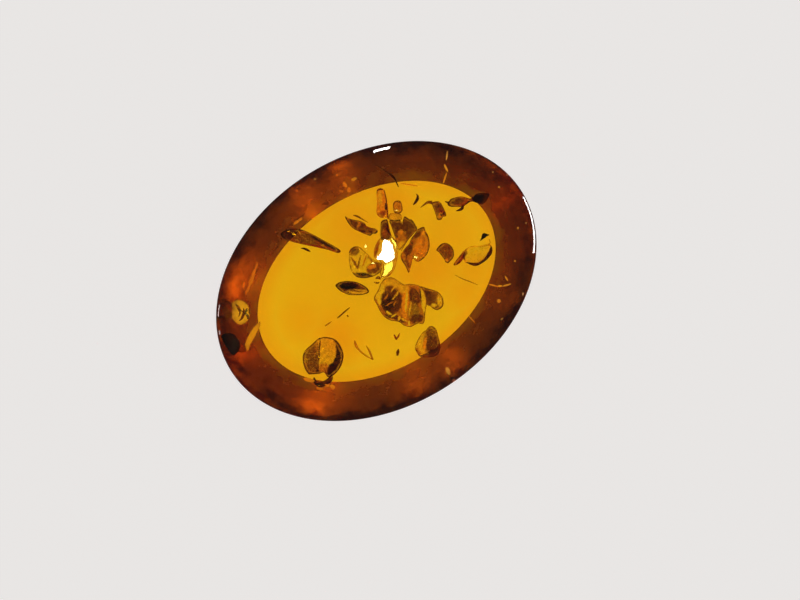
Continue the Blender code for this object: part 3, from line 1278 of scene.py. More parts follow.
@dataclass(frozen=True)
class Sliver:
    """A crescent, splinter or hairline crack, drawn by its spine and its width at each point of it."""

    name: str
    spine: tuple[tuple[float, float, float], ...]
    tone: Tone
    share: float = 0.5
    fall: float = 0.0
    # Painted shade along the sliver's two edges, where the thin gap turns light aside.
    edge: Tone | None = None
    thickness: float = 0.05
    around: int = 12
    spacing: float = 1.0
    least_half: float = 0.12
    # The edge's tone begins where the tube's turn has this cosine.
    edge_from: float = 0.8

    def stations(self) -> list[tuple[float, float, float]]:
        """Return pixels and half-width along a smooth curve through the spine's points.

        Returns:
            Pixels from the left and top, and the half-width there.
        """
        found = []
        points = (self.spine[0], *self.spine, self.spine[-1])
        for before, here, after, beyond in zip(points, points[1:], points[2:], points[3:]):
            a, b, c, d = (Vector(each) for each in (before, here, after, beyond))
            pieces = max(2, round((c - b).xy.length / self.spacing))
            for piece in range(pieces):
                t = piece / pieces
                point = b * 2.0 + (c - a) * t + (a * 2.0 - b * 5.0 + c * 4.0 - d) * t**2
                point += (b * 3.0 - a - c * 3.0 + d) * t**3
                found.append(tuple(point / 2.0))
        found.append(self.spine[-1])
        return found

    def build(self, sighting: Sighting, _lamp: Vector) -> bpy.types.Object:
        """Make a flat tapering tube along the spine, closed at both tips.

        Args:
            sighting: How pixels reach into the stone.
            _lamp: Not needed, a sliver faces nothing.

        Returns:
            The gap.
        """
        stations = self.stations()
        middle = stations[len(stations) // 2]
        entry, _inside, _normal = sighting.enter(middle[0], middle[1])
        back = sighting.on_back(middle[0], middle[1])
        base = entry.z + (back.z - entry.z) * self.share
        shape = bmesh.new()
        layer = shape.verts.layers.float_color.new("tint")
        loops = []
        for index, (px, py, half) in enumerate(stations):
            ahead = stations[min(index + 1, len(stations) - 1)]
            behind = stations[max(index - 1, 0)]
            along = Vector((ahead[0] - behind[0], ahead[1] - behind[1])).normalized()
            rise = base + self.fall * (index / (len(stations) - 1) - 0.5)
            loop = []
            for step in range(self.around):
                turn = TAU * step / self.around
                aside = math.cos(turn) * max(half, self.least_half)
                height = rise + math.sin(turn) * self.thickness / 2
                vert = shape.verts.new(
                    sighting.at_height(px - along.y * aside, py + along.x * aside, height) * MM
                )
                tone = self.edge if self.edge and abs(math.cos(turn)) > self.edge_from else self.tone
                vert[layer] = linear(tone.value)
                loop.append(vert)
            loops.append(loop)
        for first, second in zip(loops, loops[1:]):
            for step in range(self.around):
                after = (step + 1) % self.around
                shape.faces.new((first[step], first[after], second[after], second[step]))
        shape.faces.new(loops[0][::-1])
        shape.faces.new(loops[-1])
        bmesh.ops.recalc_face_normals(shape, faces=shape.faces)
        bmesh.ops.reverse_faces(shape, faces=shape.faces)
        gap = object_from(shape, self.name, CRISP_GAP)
        gap.data.attributes.active_color_name = "tint"
        return gap


@dataclass(frozen=True)
class GlowingPanel:
    """The finish of a soft box: white cloth lit from behind."""

    radiance: float

    def material(self) -> bpy.types.Material:
        """Build the glowing finish.

        Returns:
            The material.
        """
        made = bpy.data.materials.new("soft_box")
        made.use_nodes = True
        surface = made.node_tree.nodes["Principled BSDF"]
        surface.inputs["Base Color"].default_value = linear("#000000")
        surface.inputs["Emission Color"].default_value = linear("#ffffff")
        surface.inputs["Emission Strength"].default_value = self.radiance
        return made


class Seen(Enum):
    """Which light paths end on a lamp: a split fitted to the photo, as a real lamp is seen by both."""

    MIRRORED = "off the outer skin"
    INSIDE = "by way of the stone's inside"


@dataclass(frozen=True)
class DomeLamp:
    """A soft box over the stone, in the outline that the dome mirrors to the camera."""

    name: str
    corners: tuple[tuple[float, float], ...]
    radiance: float
    seen: Seen
    distance: float = 300.0

    def middle(self, sighting: Sighting) -> Vector:
        """Return the place of the lamp's middle, in millimetres.

        Args:
            sighting: How pixels meet the dome.

        Returns:
            The place.
        """
        count = len(self.corners)
        px, py = (sum(corner[axis] for corner in self.corners) / count for axis in (0, 1))
        entry, _inside, _normal = sighting.enter(px, py)
        return entry + sighting.mirrored(px, py) * self.distance

    def build(self, sighting: Sighting) -> None:
        """Stretch the panel between the mirrored places of its outline.

        Args:
            sighting: How pixels meet the dome.
        """
        shape = bmesh.new()
        ring = []
        for px, py in closed_curve(self.corners, 2.0):
            entry, _inside, _normal = sighting.enter(px, py)
            ring.append(shape.verts.new((entry + sighting.mirrored(px, py) * self.distance) * MM))
        shape.faces.new(ring)
        panel = object_from(shape, self.name, CRISP_STONE)
        panel.data.materials.append(GlowingPanel(self.radiance).material())
        panel.visible_diffuse = False
        panel.visible_glossy = self.seen is Seen.MIRRORED
        panel.visible_transmission = self.seen is Seen.INSIDE


@dataclass(frozen=True)
class FadingPanel:
    """The finish of a lamp behind a diffuser: frosted plastic, bright in the middle and dark at its edge."""

    radiance: float
    radius: float

    def material(self) -> bpy.types.Material:
        """Build the finish, which fades smoothly out to the radius.

        Returns:
            The material.
        """
        made = bpy.data.materials.new("diffuser")
        made.use_nodes = True
        tree = made.node_tree
        surface = tree.nodes["Principled BSDF"]
        surface.inputs["Base Color"].default_value = linear("#000000")
        surface.inputs["Emission Color"].default_value = linear("#ffffff")
        where = add_node(tree, "ShaderNodeTexCoord").outputs["Object"]
        out = add_node(tree, "ShaderNodeVectorMath", {"operation": "LENGTH"}, {0: where}).outputs["Value"]
        glow = add_node(tree, "ShaderNodeMapRange", {
            "interpolation_type": "SMOOTHSTEP",
            "in:1": self.radius * MM, "in:2": 0.0, "in:3": 0.0, "in:4": self.radiance,
        }, {0: out}).outputs[0]
        tree.links.new(glow, surface.inputs["Emission Strength"])
        return made


@dataclass(frozen=True)
class GlowingPaper:
    """The finish of the floor: matt white paper on a light table, which hides the lamps below it."""

    radiance: float
    paper: str = "#959595"
    light: str = "#fffcfa"
    roughness: float = 0.9

    def material(self) -> bpy.types.Material:
        """Build the finish, evenly lit from behind.

        Returns:
            The material.
        """
        made = bpy.data.materials.new("glowing_paper")
        made.use_nodes = True
        surface = made.node_tree.nodes["Principled BSDF"]
        surface.inputs["Base Color"].default_value = linear(self.paper)
        surface.inputs["Roughness"].default_value = self.roughness
        surface.inputs["Emission Color"].default_value = linear(self.light)
        surface.inputs["Emission Strength"].default_value = self.radiance
        return made


@dataclass(frozen=True)
class SoftLamp:
    """A lamp that fades from its middle, and lights a glow in the ring by way of the stone's inside."""

    name: str
    towards: tuple[float, float, float]
    spread_degrees: float
    radiance: float
    distance: float = 300.0
    segments: int = 48

    def build(self, _sighting: Sighting) -> None:
        """Hang the round panel so that it faces the stone.

        Args:
            _sighting: Not needed, the lamp has its own direction.
        """
        radius = self.distance * math.tan(math.radians(self.spread_degrees))
        shape = bmesh.new()
        bmesh.ops.create_circle(shape, cap_ends=True, segments=self.segments, radius=radius * MM)
        panel = object_from(shape, self.name, CRISP_STONE)
        towards = Vector(self.towards).normalized()
        panel.location = towards * self.distance * MM
        panel.rotation_euler = towards.to_track_quat("Z", "Y").to_euler()
        panel.data.materials.append(FadingPanel(self.radiance, radius).material())
        panel.visible_diffuse = False
        panel.visible_glossy = False


@dataclass(frozen=True)
class RimLamp:
    """A low strip of light far to one side, which the foot of the dome mirrors to the camera."""

    name: str
    first: tuple[float, float]
    last: tuple[float, float]
    top_degrees: float
    radiance: float
    low_degrees: float = 0.0
    distance: float = 300.0
    steps: int = 12

    def turn_at(self, sighting: Sighting, pixel: tuple[float, float]) -> float:
        """Return the angle round the outline that lies nearest to a pixel.

        Args:
            sighting: Where the stone lies in the picture.
            pixel: Pixels from the left and top.

        Returns:
            The angle, from the stone's length towards its width.
        """
        x, y = sighting.level_place(*pixel)
        section = sighting.section
        return math.atan2(y / section.half_width, x / section.half_length)

    def build(self, sighting: Sighting) -> None:
        """Bend the strip so that each part of it faces its part of the outline.

        Args:
            sighting: Where the stone lies in the picture.
        """
        section = sighting.section
        first, last = self.turn_at(sighting, self.first), self.turn_at(sighting, self.last)
        if last - first > math.pi:
            last -= TAU
        if first - last > math.pi:
            last += TAU
        shape = bmesh.new()
        posts = []
        for step in range(self.steps + 1):
            turn = first + (last - first) * step / self.steps
            edge = Vector((section.half_length * math.cos(turn), section.half_width * math.sin(turn), 0.0))
            outward = Vector((math.cos(turn) / section.half_length, math.sin(turn) / section.half_width, 0.0))
            foot = edge + outward.normalized() * self.distance
            low, top = (
                foot + Vector((0.0, 0.0, math.tan(math.radians(each)) * self.distance))
                for each in (self.low_degrees, self.top_degrees)
            )
            posts.append((shape.verts.new(low * MM), shape.verts.new(top * MM)))
        for (low, high), (next_low, next_high) in zip(posts, posts[1:]):
            shape.faces.new((low, next_low, next_high, high))
        strip = object_from(shape, self.name, CRISP_GAP)
        strip.data.materials.append(GlowingPanel(self.radiance).material())
        strip.visible_diffuse = False
        strip.visible_transmission = False


@dataclass(frozen=True)
class Studio:
    """A pale floor lit like a light table, a dim room, soft lamps and the camera."""

    sighting: Sighting
    lamps: tuple[DomeLamp | RimLamp | SoftLamp, ...]
    floor_size: float = 2.0
    floor_gap: float = 0.05
    floor_glow: float = 0.78
    room_glow: float = 0.085
    bounces: int = 24

    def build_floor(self) -> None:
        """Lay a floor that glows evenly, so that the clear stone is seen against light."""
        shape = bmesh.new()
        half = self.floor_size / 2
        corners = ((-half, -half), (half, -half), (half, half), (-half, half))
        shape.faces.new([shape.verts.new((x, y, -self.floor_gap * MM)) for x, y in corners])
        floor = object_from(shape, "floor", CRISP_STONE)
        floor.data.materials.append(GlowingPaper(self.floor_glow).material())
        # Mirror images on the skin leave the floor out, so that the outline stays dark as in the photo.
        floor.visible_glossy = False

    def build_backdrop(self) -> None:
        """Hang pale paper all round, far off, which only a camera that looks sideways sees."""
        shape = bmesh.new()
        bmesh.ops.create_icosphere(shape, subdivisions=5, radius=self.floor_size / 2)
        backdrop = object_from(shape, "backdrop", CRISP_GAP)
        backdrop.data.materials.append(GlowingPanel(self.floor_glow).material())
        backdrop.visible_diffuse = False
        backdrop.visible_glossy = False
        backdrop.visible_transmission = False

    def build_room(self) -> None:
        """Surround the stone with an even dim light."""
        world = bpy.data.worlds.new("dim_room")
        world.use_nodes = True
        sky = world.node_tree.nodes["Background"]
        sky.inputs["Color"].default_value = linear("#ffffff")
        sky.inputs["Strength"].default_value = self.room_glow
        bpy.context.scene.world = world

    def build_camera(self) -> None:
        """Look straight down on the stone, turned so that it rises to the right."""
        data = bpy.data.cameras.new("camera")
        data.lens = self.sighting.lens
        data.sensor_width = self.sighting.sensor
        data.clip_start = 1.0 * MM
        camera = bpy.data.objects.new("camera", data)
        camera.location = self.sighting.camera_place() * MM
        camera.rotation_euler = (0.0, 0.0, -math.radians(self.sighting.rise_degrees))
        bpy.context.scene.collection.objects.link(camera)
        bpy.context.scene.camera = camera

    def build(self) -> None:
        """Make the whole studio and set how light is followed and shown."""
        self.build_floor()
        self.build_backdrop()
        self.build_room()
        self.build_camera()
        for lamp in self.lamps:
            lamp.build(self.sighting)
        scene = bpy.context.scene
        scene.view_settings.view_transform = "Standard"
        scene.cycles.max_bounces = self.bounces
        scene.cycles.transmission_bounces = self.bounces


STAINS = (
    SoftSpot(337, 340, 2.2, 0.6),
    SoftSpot(300, 322, 2.0, 0.35),
    SoftSpot(420, 272, 2.2, 0.5),
    SoftSpot(468, 292, 2.0, 0.5),
    SoftSpot(392, 198, 2.4, 0.6),
    SoftSpot(350, 218, 3.2, 0.5),
    SoftSpot(476, 273, 2.2, 0.5),
    SoftSpot(436, 262, 2.6, 0.5),
    SoftSpot(455, 230, 3.0, 0.35),
)

# Where the dome mirrors the one small lamp overhead.
OVERHEAD = DomeLamp(
    "overhead_lamp",
    ((383, 241), (386, 239.8), (390, 241.5), (392.5, 246), (394, 251), (394.3, 257), (392, 260), (388, 262),
     (385, 262.5), (383.5, 260), (380, 259.5), (377, 259.5), (377.5, 256.5), (381, 253), (382, 248)),
    40.0, Seen.MIRRORED,
)

# A smaller one beside it lights the crack faces that are turned to it.
BESIDE = DomeLamp(
    "gleam_lamp", ((383, 248), (387, 246), (391, 248), (391, 253), (387, 255), (383, 253)), 18.0, Seen.INSIDE,
)

LAMPS = (
    OVERHEAD,
    BESIDE,
    SoftLamp("glow_lamp_left", (0.785, 0.11, 0.61), 8.0, 9.0),
    SoftLamp("glow_lamp_bottom", (0.72, -0.14, 0.68), 6.0, 9.0),
    SoftLamp("glow_lamp_top_left", (-0.17, 0.03, 0.98), 5.0, 8.0),
    SoftLamp("glow_lamp_top", (0.1, -0.04, 1.0), 7.0, 2.6),
    SoftLamp("glow_lamp_right", (-0.66, -0.07, 0.75), 3.0, 6.0),
    RimLamp("rim_lamp_right", (524, 195), (536, 250), 9.8, 30.0, 6.4),
    RimLamp("rim_lamp_top", (374, 147), (391, 146), 3.0, 30.0),
    RimLamp("rim_lamp_left", (218.5, 306), (219, 317), 7.6, 12.0, 6.0),
    RimLamp("rim_lamp_left_low", (221, 330), (222.5, 334), 10.0, 8.0, 7.0),
)


def fleck(
    name: str, px: float, py: float, half_long: float, half_short: float, turn: float, tone: Tone,
    facing: Facing = Facing.FLANK, share: float = 0.5, worn_tint: str = "#ff8a60",
) -> Spangle:
    """Describe a small oval crack face.

    Args:
        name: The piece's name.
        px: Pixels from the picture's left to its middle.
        py: Pixels from the top.
        half_long: Half its length in pixels.
        half_short: Half its width.
        turn: Degrees from the right, downwards.
        tone: Its tint.
        facing: What it is turned to.
        share: How deep it lies.
        worn_tint: The skin's tint where the face looks out.

    Returns:
        The crack.
    """
    angle = math.radians(turn)
    corners = []
    for step in range(8):
        sweep = TAU * step / 8
        along, across = half_long * math.cos(sweep), half_short * math.sin(sweep)
        corners.append((
            px + along * math.cos(angle) - across * math.sin(angle),
            py + along * math.sin(angle) + across * math.cos(angle),
        ))
    worn = 0.0 if facing is Facing.LAMP else 0.6
    return Spangle(
        name, tuple(corners), tone, share, rim=tone, dish=0.0, facing=facing, thickness=0.004, ripple=0.02,
        worn=worn, worn_tint=worn_tint, spacing=0.5,
    )


SPANGLES = (
    Spangle(
        "sun_spangle_blade_left",
        ((281, 233), (290, 229), (301, 229.5), (312, 234), (323, 240), (333, 245.5), (340.5, 250.5),
         (338, 253),
         (328, 250), (315, 247), (303, 244.5), (291, 241.5), (283, 238)),
        Tone.RUSSET, 0.55, (0.15, 0.3), Tone.UMBER, 1.2, (
            Patch(303, 238, 16, 5, 20, Tone.BROWN, 0.8),
            Patch(325, 243, 20, 2, 27, Tone.DARK, 0.8),
        ),
    ),
    Spangle(
        "sun_spangle_blade_top",
        ((345, 216.5), (349, 218.5), (354, 219.8), (360, 221), (365, 223.5), (366, 225.5), (370, 227.5),
         (374.5, 228.5), (377.8, 231), (376, 233.5), (372.5, 233.8), (370.5, 235.8), (366, 234.5), (360, 232),
         (354, 229), (350, 225.5), (347, 221)),
        Tone.BROWN, 0.45, (0.2, 0.35), Tone.DARK, 0.9, (
            Patch(357, 224, 9, 4, 20, Tone.UMBER, 0.7),
            Patch(359, 224, 1.5, 4, 20, Tone.AMBER_BROWN, 1.0),
        ), ripple=0.05,
    ),
    Spangle(
        "sun_spangle_folded",
        ((349, 256), (349.5, 250.5), (354, 246.7), (359.5, 247), (364, 251), (368, 254.5), (372, 259),
         (377, 261), (381, 264), (382, 269.5), (378, 274), (371.5, 277), (363, 278.2), (356, 276.5),
         (351.5, 271), (349.5, 264)),
        Tone.CLEAR, 0.42, (-0.1, 0.12), Tone.UMBER, 0.8, (
            Patch(354, 251, 5.5, 4.5, -30, Tone.OLIVE, 0.4),
            Patch(352.5, 249.5, 3.5, 2, -35, Tone.DARK, 0.6),
            Patch(354.5, 263, 7, 1, 58, Tone.BROWN, 0.6),
            Patch(359, 262, 0.8, 7, 12, Tone.BROWN, 0.6),
            Patch(364.5, 261, 0.7, 6, 20, Tone.AMBER_BROWN, 0.6),
            Patch(374, 268, 8, 5.5, -25, Tone.BROWN, 0.35),
            Patch(372, 266.5, 4, 2.2, -15, Tone.ORANGE, 0.8),
            Patch(363, 276, 11, 3.4, 5, Tone.DARK, 0.5),
            Patch(371, 257, 3.5, 3, 40, Tone.OLIVE, 0.9),
        ), ripple=0.1, veins=0.3,
    ),
    Spangle(
        "sun_spangle_bright",
        ((380, 238.5), (385, 236.5), (392, 237.5), (396.5, 243), (398, 252), (396.5, 262), (394, 270),
         (389, 276), (382, 278), (380, 272), (381, 264), (378, 259), (374.2, 257), (374, 250), (376.5, 243)),
        Tone.CLEAR, 0.3, (0.0, 0.0), Tone.AMBER_BROWN, 0.8, (
            Patch(376, 248.5, 2.6, 10, 15, Tone.RUSSET, 0.6),
            Patch(396, 256, 1.2, 9, 0, Tone.OCHRE, 0.6),
        ), middle=(386, 256),
    ),
    Spangle(
        "sun_spangle_wedge",
        ((381, 222), (383.5, 220), (387, 219.5), (388.5, 224), (390, 231), (391.5, 236.5), (388, 239.3),
         (382, 239.5), (380.5, 236), (380.5, 229)),
        Tone.UMBER, 0.35, (0.35, 0.1), Tone.DARK, 0.9, (
            Patch(384.5, 233, 2, 4, 0, Tone.RUSSET, 1.0),
        ), ripple=0.05,
    ),
    Spangle(
        "sun_spangle_leaf",
        ((389.5, 220.5), (395, 220.3), (400, 220), (402, 222.5), (404.5, 216.5), (409, 219), (412, 220),
         (415.5, 225), (417, 229), (413, 234.5), (408, 240), (404, 245), (401, 249), (399, 250), (397.5, 246),
         (396, 241), (394, 234), (391.5, 227)),
        Tone.UMBER, 0.5, (-0.2, 0.3), Tone.DARK, 0.8, (
            Patch(409, 226, 7, 6, 30, Tone.UMBER, 0.5),
            Patch(400, 241, 6, 10, 20, Tone.AMBER_BROWN, 0.6),
            Patch(401, 232, 2.2, 2, 0, Tone.ORANGE, 0.9),
            Patch(401.5, 246, 4, 5, 20, Tone.OCHRE, 0.7),
            Patch(402.5, 221.5, 0.8, 3, 10, Tone.CLEAR, 0.8),
        ), ripple=0.08,
    ),
    Spangle(
        "sun_spangle_petal",
        ((419, 228.5), (424, 227), (425.5, 231), (428.3, 236), (429.7, 244), (428.5, 251), (425, 257),
         (420, 261), (416.5, 261.5), (413, 258.5), (412, 262), (410.5, 268), (409, 272.8), (407.5, 271),
         (405, 265.5), (402, 261), (400.5, 256), (402, 252.5), (406, 247), (409, 244), (411, 239),
         (416, 232)),
        Tone.AMBER_BROWN, 0.4, (-0.35, 0.1), Tone.UMBER, 0.9, (
            Patch(417, 233, 4, 9, 40, Tone.UMBER, 0.4),
            Patch(423, 233, 2, 2, 0, Tone.ORANGE, 0.8),
            Patch(408, 250, 4, 10, 30, Tone.UMBER, 0.5),
            Patch(405, 262, 3.5, 9, -25, Tone.BROWN, 0.5),
            Patch(404, 256.5, 1.6, 4, -10, Tone.AMBER_BROWN, 0.8),
            Patch(421, 247, 6, 9, 15, Tone.ORANGE, 0.7),
            Patch(424, 242, 1.5, 7, 10, Tone.AMBER_BROWN, 0.8),
            Patch(415.5, 257, 3.2, 1.9, 15, Tone.CLEAR, 0.4),
        ), middle=(413, 249), ripple=0.08,
    ),
    Spangle(
        "gas_bubble_top",
        ((393, 204), (395.5, 200.8), (400, 201), (402, 205), (402.5, 210), (400.5, 213), (397, 213.6),
         (394, 212), (393.2, 208)),
        Tone.AMBER_BROWN, 0.4, (0.0, 0.3), Tone.BROWN, 1.2, (
            Patch(396.3, 210.6, 2.6, 1.4, 0, Tone.CLEAR, 0.5),
        ),
    ),
    Spangle(
        "sun_spangle_pale",
        ((389.5, 214), (394, 213), (400.5, 214), (401.5, 219.5), (395, 220), (389, 219.5)),
        Tone.OCHRE, 0.55, (0.0, 0.0), Tone.OLIVE, 0.8,
    ),
    Spangle(
        "sun_spangle_grainy",
        ((432, 202.3), (438, 201.3), (440.8, 203), (443, 207), (445.5, 212), (446, 216), (443, 216.8),
         (441.5, 219.5), (437.3, 219.7), (436, 216), (434.5, 211), (432.5, 206)),
        Tone.BROWN, 0.45, (0.3, 0.0), Tone.UMBER, 0.8, (
            Patch(443, 210, 2, 7, -25, Tone.UMBER, 0.5),
            Patch(439, 217, 4, 4, 0, Tone.OLIVE, 0.9),
            Patch(440, 215, 1.2, 2.5, 20, Tone.ORANGE, 1.0),
        ), ripple=0.12,
    ),
    Spangle(
        "sun_spangle_two_lobed",
        ((447.5, 204), (450, 199.5), (455, 197.5), (461, 196.5), (466, 197.5), (470, 198.5), (473, 197),
         (477, 193.5), (483, 193), (489, 193.5), (488, 198), (485.5, 202), (482, 204.3), (478, 203.3),
         (474, 201.7), (470, 202), (465, 205.5), (462, 206.8), (456, 207), (450, 206.5)),
        Tone.RUSSET, 0.5, (0.3, 0.2), Tone.DARK, 1.0, (
            Patch(456, 201, 8, 3.5, -10, Tone.UMBER, 0.9),
            Patch(482, 198, 11, 8, 0, Tone.BLACK, 0.5),
        ), middle=(469, 200.3),
    ),
    Spangle(
        "sun_spangle_right_oval",
        ((463, 257), (463.5, 252), (467, 248.2), (473, 246), (480, 245.8), (486, 244.3), (490, 244.5),
         (492.3, 248), (492, 252.5), (488, 257.5), (481.5, 262.5), (475, 266), (469, 264), (465, 262)),
        Tone.CLEAR, 0.45, (0.2, 0.35), Tone.AMBER_BROWN, 0.7, (
            Patch(464.5, 254, 1.8, 5, 20, Tone.BROWN, 0.6),
        ),
    ),
    Spangle(
        "sun_spangle_half_disc",
        ((436.3, 250), (439, 246), (442, 243.6), (446, 243), (450, 245), (453, 249), (454, 254), (453, 258),
         (450, 261.5), (448, 263.2), (445.5, 262), (444.3, 259.5), (441, 255), (438.5, 252)),
        Tone.BROWN, 0.4, (0.25, -0.25), Tone.DARK, 0.9, (
            Patch(446, 250, 6, 5, 30, Tone.BROWN, 0.7),
            Patch(446.2, 261, 1.8, 2.6, 10, Tone.ORANGE, 0.7),
        ), ripple=0.04,
    ),
    Spangle(
        "sun_spangle_small_blade",
        ((463.5, 251), (464.5, 256), (461, 262), (457, 265), (453.5, 265), (455.5, 261), (459, 256.5),
         (461.5, 253.5)),
        Tone.RUSSET, 0.6, (0.2, 0.2), Tone.BROWN, 0.8, (
            Patch(458, 261, 1.4, 3, 40, Tone.AMBER_BROWN, 0.8),
        ),
    ),
    Spangle(
        "sun_spangle_lens",
        ((335.5, 285), (340, 282), (348, 281), (356, 282), (363, 285), (368, 289), (368.7, 292.5),
         (364, 294.5),
         (356, 295.2), (348, 294.5), (341, 291.5), (337, 288)),
        Tone.UMBER, 0.5, (0.1, -0.3), Tone.DARK, 1.0, (
            Patch(346, 285, 12, 4, 8, Tone.BLACK, 0.7),
            Patch(360, 292, 12, 2.2, 4, Tone.OCHRE, 0.5),
            Patch(356, 291, 8, 0.8, 4, Tone.BROWN, 0.8),
        ),
    ),
    Spangle(
        "sun_spangle_great",
        ((374, 298), (377, 305), (380.5, 312), (385, 317.5), (391, 320.5), (399, 322), (404, 325.5),
         (410, 327), (414, 325.5), (418, 323.5), (423.8, 323), (425.5, 312), (426.8, 303), (425.5, 294),
         (422, 288), (417, 285), (410, 284), (404, 284.5), (399, 281.5), (392, 277.5), (385, 278.5),
         (381, 283),
         (378, 290)),
        Tone.AMBER_BROWN, 0.55, (0.05, 0.1), Tone.BROWN, 0.7, (
            Patch(380, 292, 4.6, 14, 10, Tone.CLEAR, 0.5),
            Patch(390, 283, 12, 4.4, 12, Tone.OCHRE, 0.8),
            Patch(391.5, 301, 10.5, 13.5, 0, Tone.UMBER, 0.22),
            Patch(388, 303, 6, 8, 0, Tone.DARK, 0.6),
            Patch(389, 288, 5, 2.4, -20, Tone.BROWN, 0.8),
            Patch(396.5, 294.5, 6.5, 0.9, -50, Tone.OCHRE, 0.5),
            Patch(393.5, 288.5, 4, 0.8, -55, Tone.OCHRE, 0.6),
            Patch(386, 297, 3.5, 0.8, -60, Tone.AMBER_BROWN, 0.8),
            Patch(389.5, 304, 4, 0.8, -30, Tone.AMBER_BROWN, 0.8),
            Patch(395, 303, 3, 0.7, -60, Tone.AMBER_BROWN, 0.8),
            Patch(405.5, 303, 3.4, 16, 3, Tone.ORANGE, 0.4),
            Patch(406.5, 300, 1.2, 12, 3, Tone.CLEAR, 0.6),
            Patch(404, 289, 5, 4, 0, Tone.OCHRE, 0.8),
            Patch(414.5, 297, 5.2, 9, -15, Tone.UMBER, 0.25),
            Patch(415, 295, 2.8, 5, -15, Tone.BROWN, 0.8),
            Patch(413.5, 311, 6, 8, 0, Tone.OLIVE, 0.6),
            Patch(410, 309, 1, 7, 8, Tone.OCHRE, 0.6),
            Patch(423.3, 299, 2.6, 14, -6, Tone.CLEAR, 0.3),
            Patch(420.4, 295, 0.7, 8, -6, Tone.DARK, 0.4),
            Patch(394, 318.5, 12, 3.6, 14, Tone.UMBER, 0.3),
            Patch(417, 319, 7, 4.6, -10, Tone.UMBER, 0.5),
            Patch(389, 313, 3.2, 1.1, 35, Tone.CLEAR, 0.4),
            Patch(394, 315.5, 3.2, 1.0, -25, Tone.CLEAR, 0.4),
            Patch(399, 318.5, 1.1, 3, 20, Tone.OCHRE, 0.4),
            Patch(404, 320, 3.5, 1.1, 30, Tone.OCHRE, 0.4),
            Patch(409, 323.5, 1.2, 2.6, 0, Tone.CLEAR, 0.4),
            Patch(392, 319.5, 3, 0.8, 20, Tone.ORANGE, 0.5),
            Patch(379.5, 308, 1.4, 13, -28, Tone.RUSSET, 0.5),
        ), ripple=0.12, middle=(401, 303), veins=0.35, spacing=0.6,
    ),
    Spangle(
        "sun_spangle_behind",
        ((420.5, 286.5), (426, 288), (433, 290), (438, 292), (441, 295), (443, 299), (443.5, 304),
         (441.5, 308), (437, 310), (433, 308.5), (430, 306), (426.8, 304.5), (426.3, 298), (424.5, 292)),
        Tone.BROWN, 0.7, (-0.3, 0.1), Tone.UMBER, 0.9, (
            Patch(428, 296, 5, 7, -20, Tone.UMBER, 0.7),
            Patch(441, 302, 3.5, 8, -15, Tone.OCHRE, 0.6),
            Patch(434.5, 305, 2.8, 1.6, -10, Tone.CLEAR, 0.4),
            Patch(439.6, 300, 1.5, 2.4, 10, Tone.CLEAR, 0.5),
        ), ripple=0.06,
    ),
    Spangle(
        "sun_spangle_low",
        ((303, 355), (306, 349.5), (311, 345), (316, 340.5), (319.5, 338), (326, 337), (333, 338.5),
         (338, 342), (342, 349), (343.6, 356.5), (342, 364), (339, 369.5), (335, 374), (331, 376.8),
         (327.5, 377), (324, 372.5), (319, 373.8), (312, 374.3), (308.5, 374), (305, 369), (303, 362)),
        Tone.OCHRE, 0.5, (0.1, 0.05), Tone.UMBER, 1.1, (
            Patch(326, 350, 17, 60, 2, Tone.BROWN, 0.05, True),
            Patch(305, 357, 13.5, 30, 4, Tone.BROWN, 0.15),
            Patch(310, 346, 6, 4, -40, Tone.UMBER, 0.8),
            Patch(315.5, 357, 2.2, 15, 4, Tone.AMBER_BROWN, 0.7),
            Patch(318.8, 356, 0.9, 20, 5, Tone.UMBER, 0.6),
            Patch(321.5, 350, 14.6, 17.5, -6, Tone.DARK, 0.1, True),
            Patch(324, 368, 5.5, 5, 0, Tone.AMBER_BROWN, 0.5),
            Patch(310, 360, 8.6, 16, 4, Tone.BROWN, 0.3),
            Patch(333, 370, 6, 6, -40, Tone.BLACK, 0.5),
        ), spacing=0.7, dish=0.2,
    ),
    Spangle(
        "sun_spangle_dome_low_right",
        ((426, 330), (429, 326.6), (433, 326.4), (436.5, 330), (438.5, 337), (440, 343), (440.3, 349),
         (437, 355), (430, 357.5), (420.5, 356.8), (417, 353), (415, 347.5), (417, 341.5), (420, 336),
         (423, 332)),
        Tone.OCHRE, 0.5, (-0.3, 0.1), Tone.BROWN, 0.9, (
            Patch(434, 342, 9.5, 18, -8, Tone.BROWN, 0.35),
            Patch(432, 345, 6, 9, 0, Tone.UMBER, 0.9),
            Patch(425, 343, 1.4, 6, 10, Tone.ORANGE, 0.8),
            Patch(417, 352, 2.6, 6, -35, Tone.RUSSET, 0.5),
        ), ripple=0.08,
    ),
    Spangle(
        "sun_spangle_ring_disc",
        ((230, 312), (230.7, 305.5), (234, 301.5), (239, 300), (244.5, 302), (248, 306), (249.5, 312),
         (249, 317.5), (246, 322), (241, 324.6), (236.5, 323), (232.5, 318.5)),
        Tone.OCHRE, 0.5, rim=Tone.CLEAR, rim_width=1.2, dish=0.06, ripple=0.12, facing=Facing.FLANK, rim_highlight=0.0,
        worn=0.85, worn_tint="#ff9c30",
        patches=(
            Patch(236, 305, 3, 1.2, -40, Tone.CLEAR, 0.8),
            Patch(242, 315, 2.2, 4, 20, Tone.AMBER_BROWN, 0.9),
            Patch(237, 318, 2, 1, 30, Tone.BROWN, 0.8),
            Patch(244, 306, 1.4, 2.4, 0, Tone.BROWN, 0.8),
        ),
    ),
    # A black sheet of painted shade near the left rim.
    Spangle(
        "painted_shade_left",
        ((221.5, 336), (227, 333), (233, 334), (237, 338), (239, 344), (237.5, 351), (233, 355), (228, 350),
         (224, 343)),
        Tone.BLACK, 0.15, rim=Tone.BLACK, dish=0.0, veins=0.0, rim_highlight=0.0, grain=0.1,
    ),
    Spangle(
        "sun_spangle_ring_blade",
        ((260, 321.5), (260, 326), (257, 332.5), (253, 340), (250, 345.5), (248.3, 350.3), (246.5, 350.3),
         (245, 345.5), (247.5, 338), (252, 330), (256, 325)),
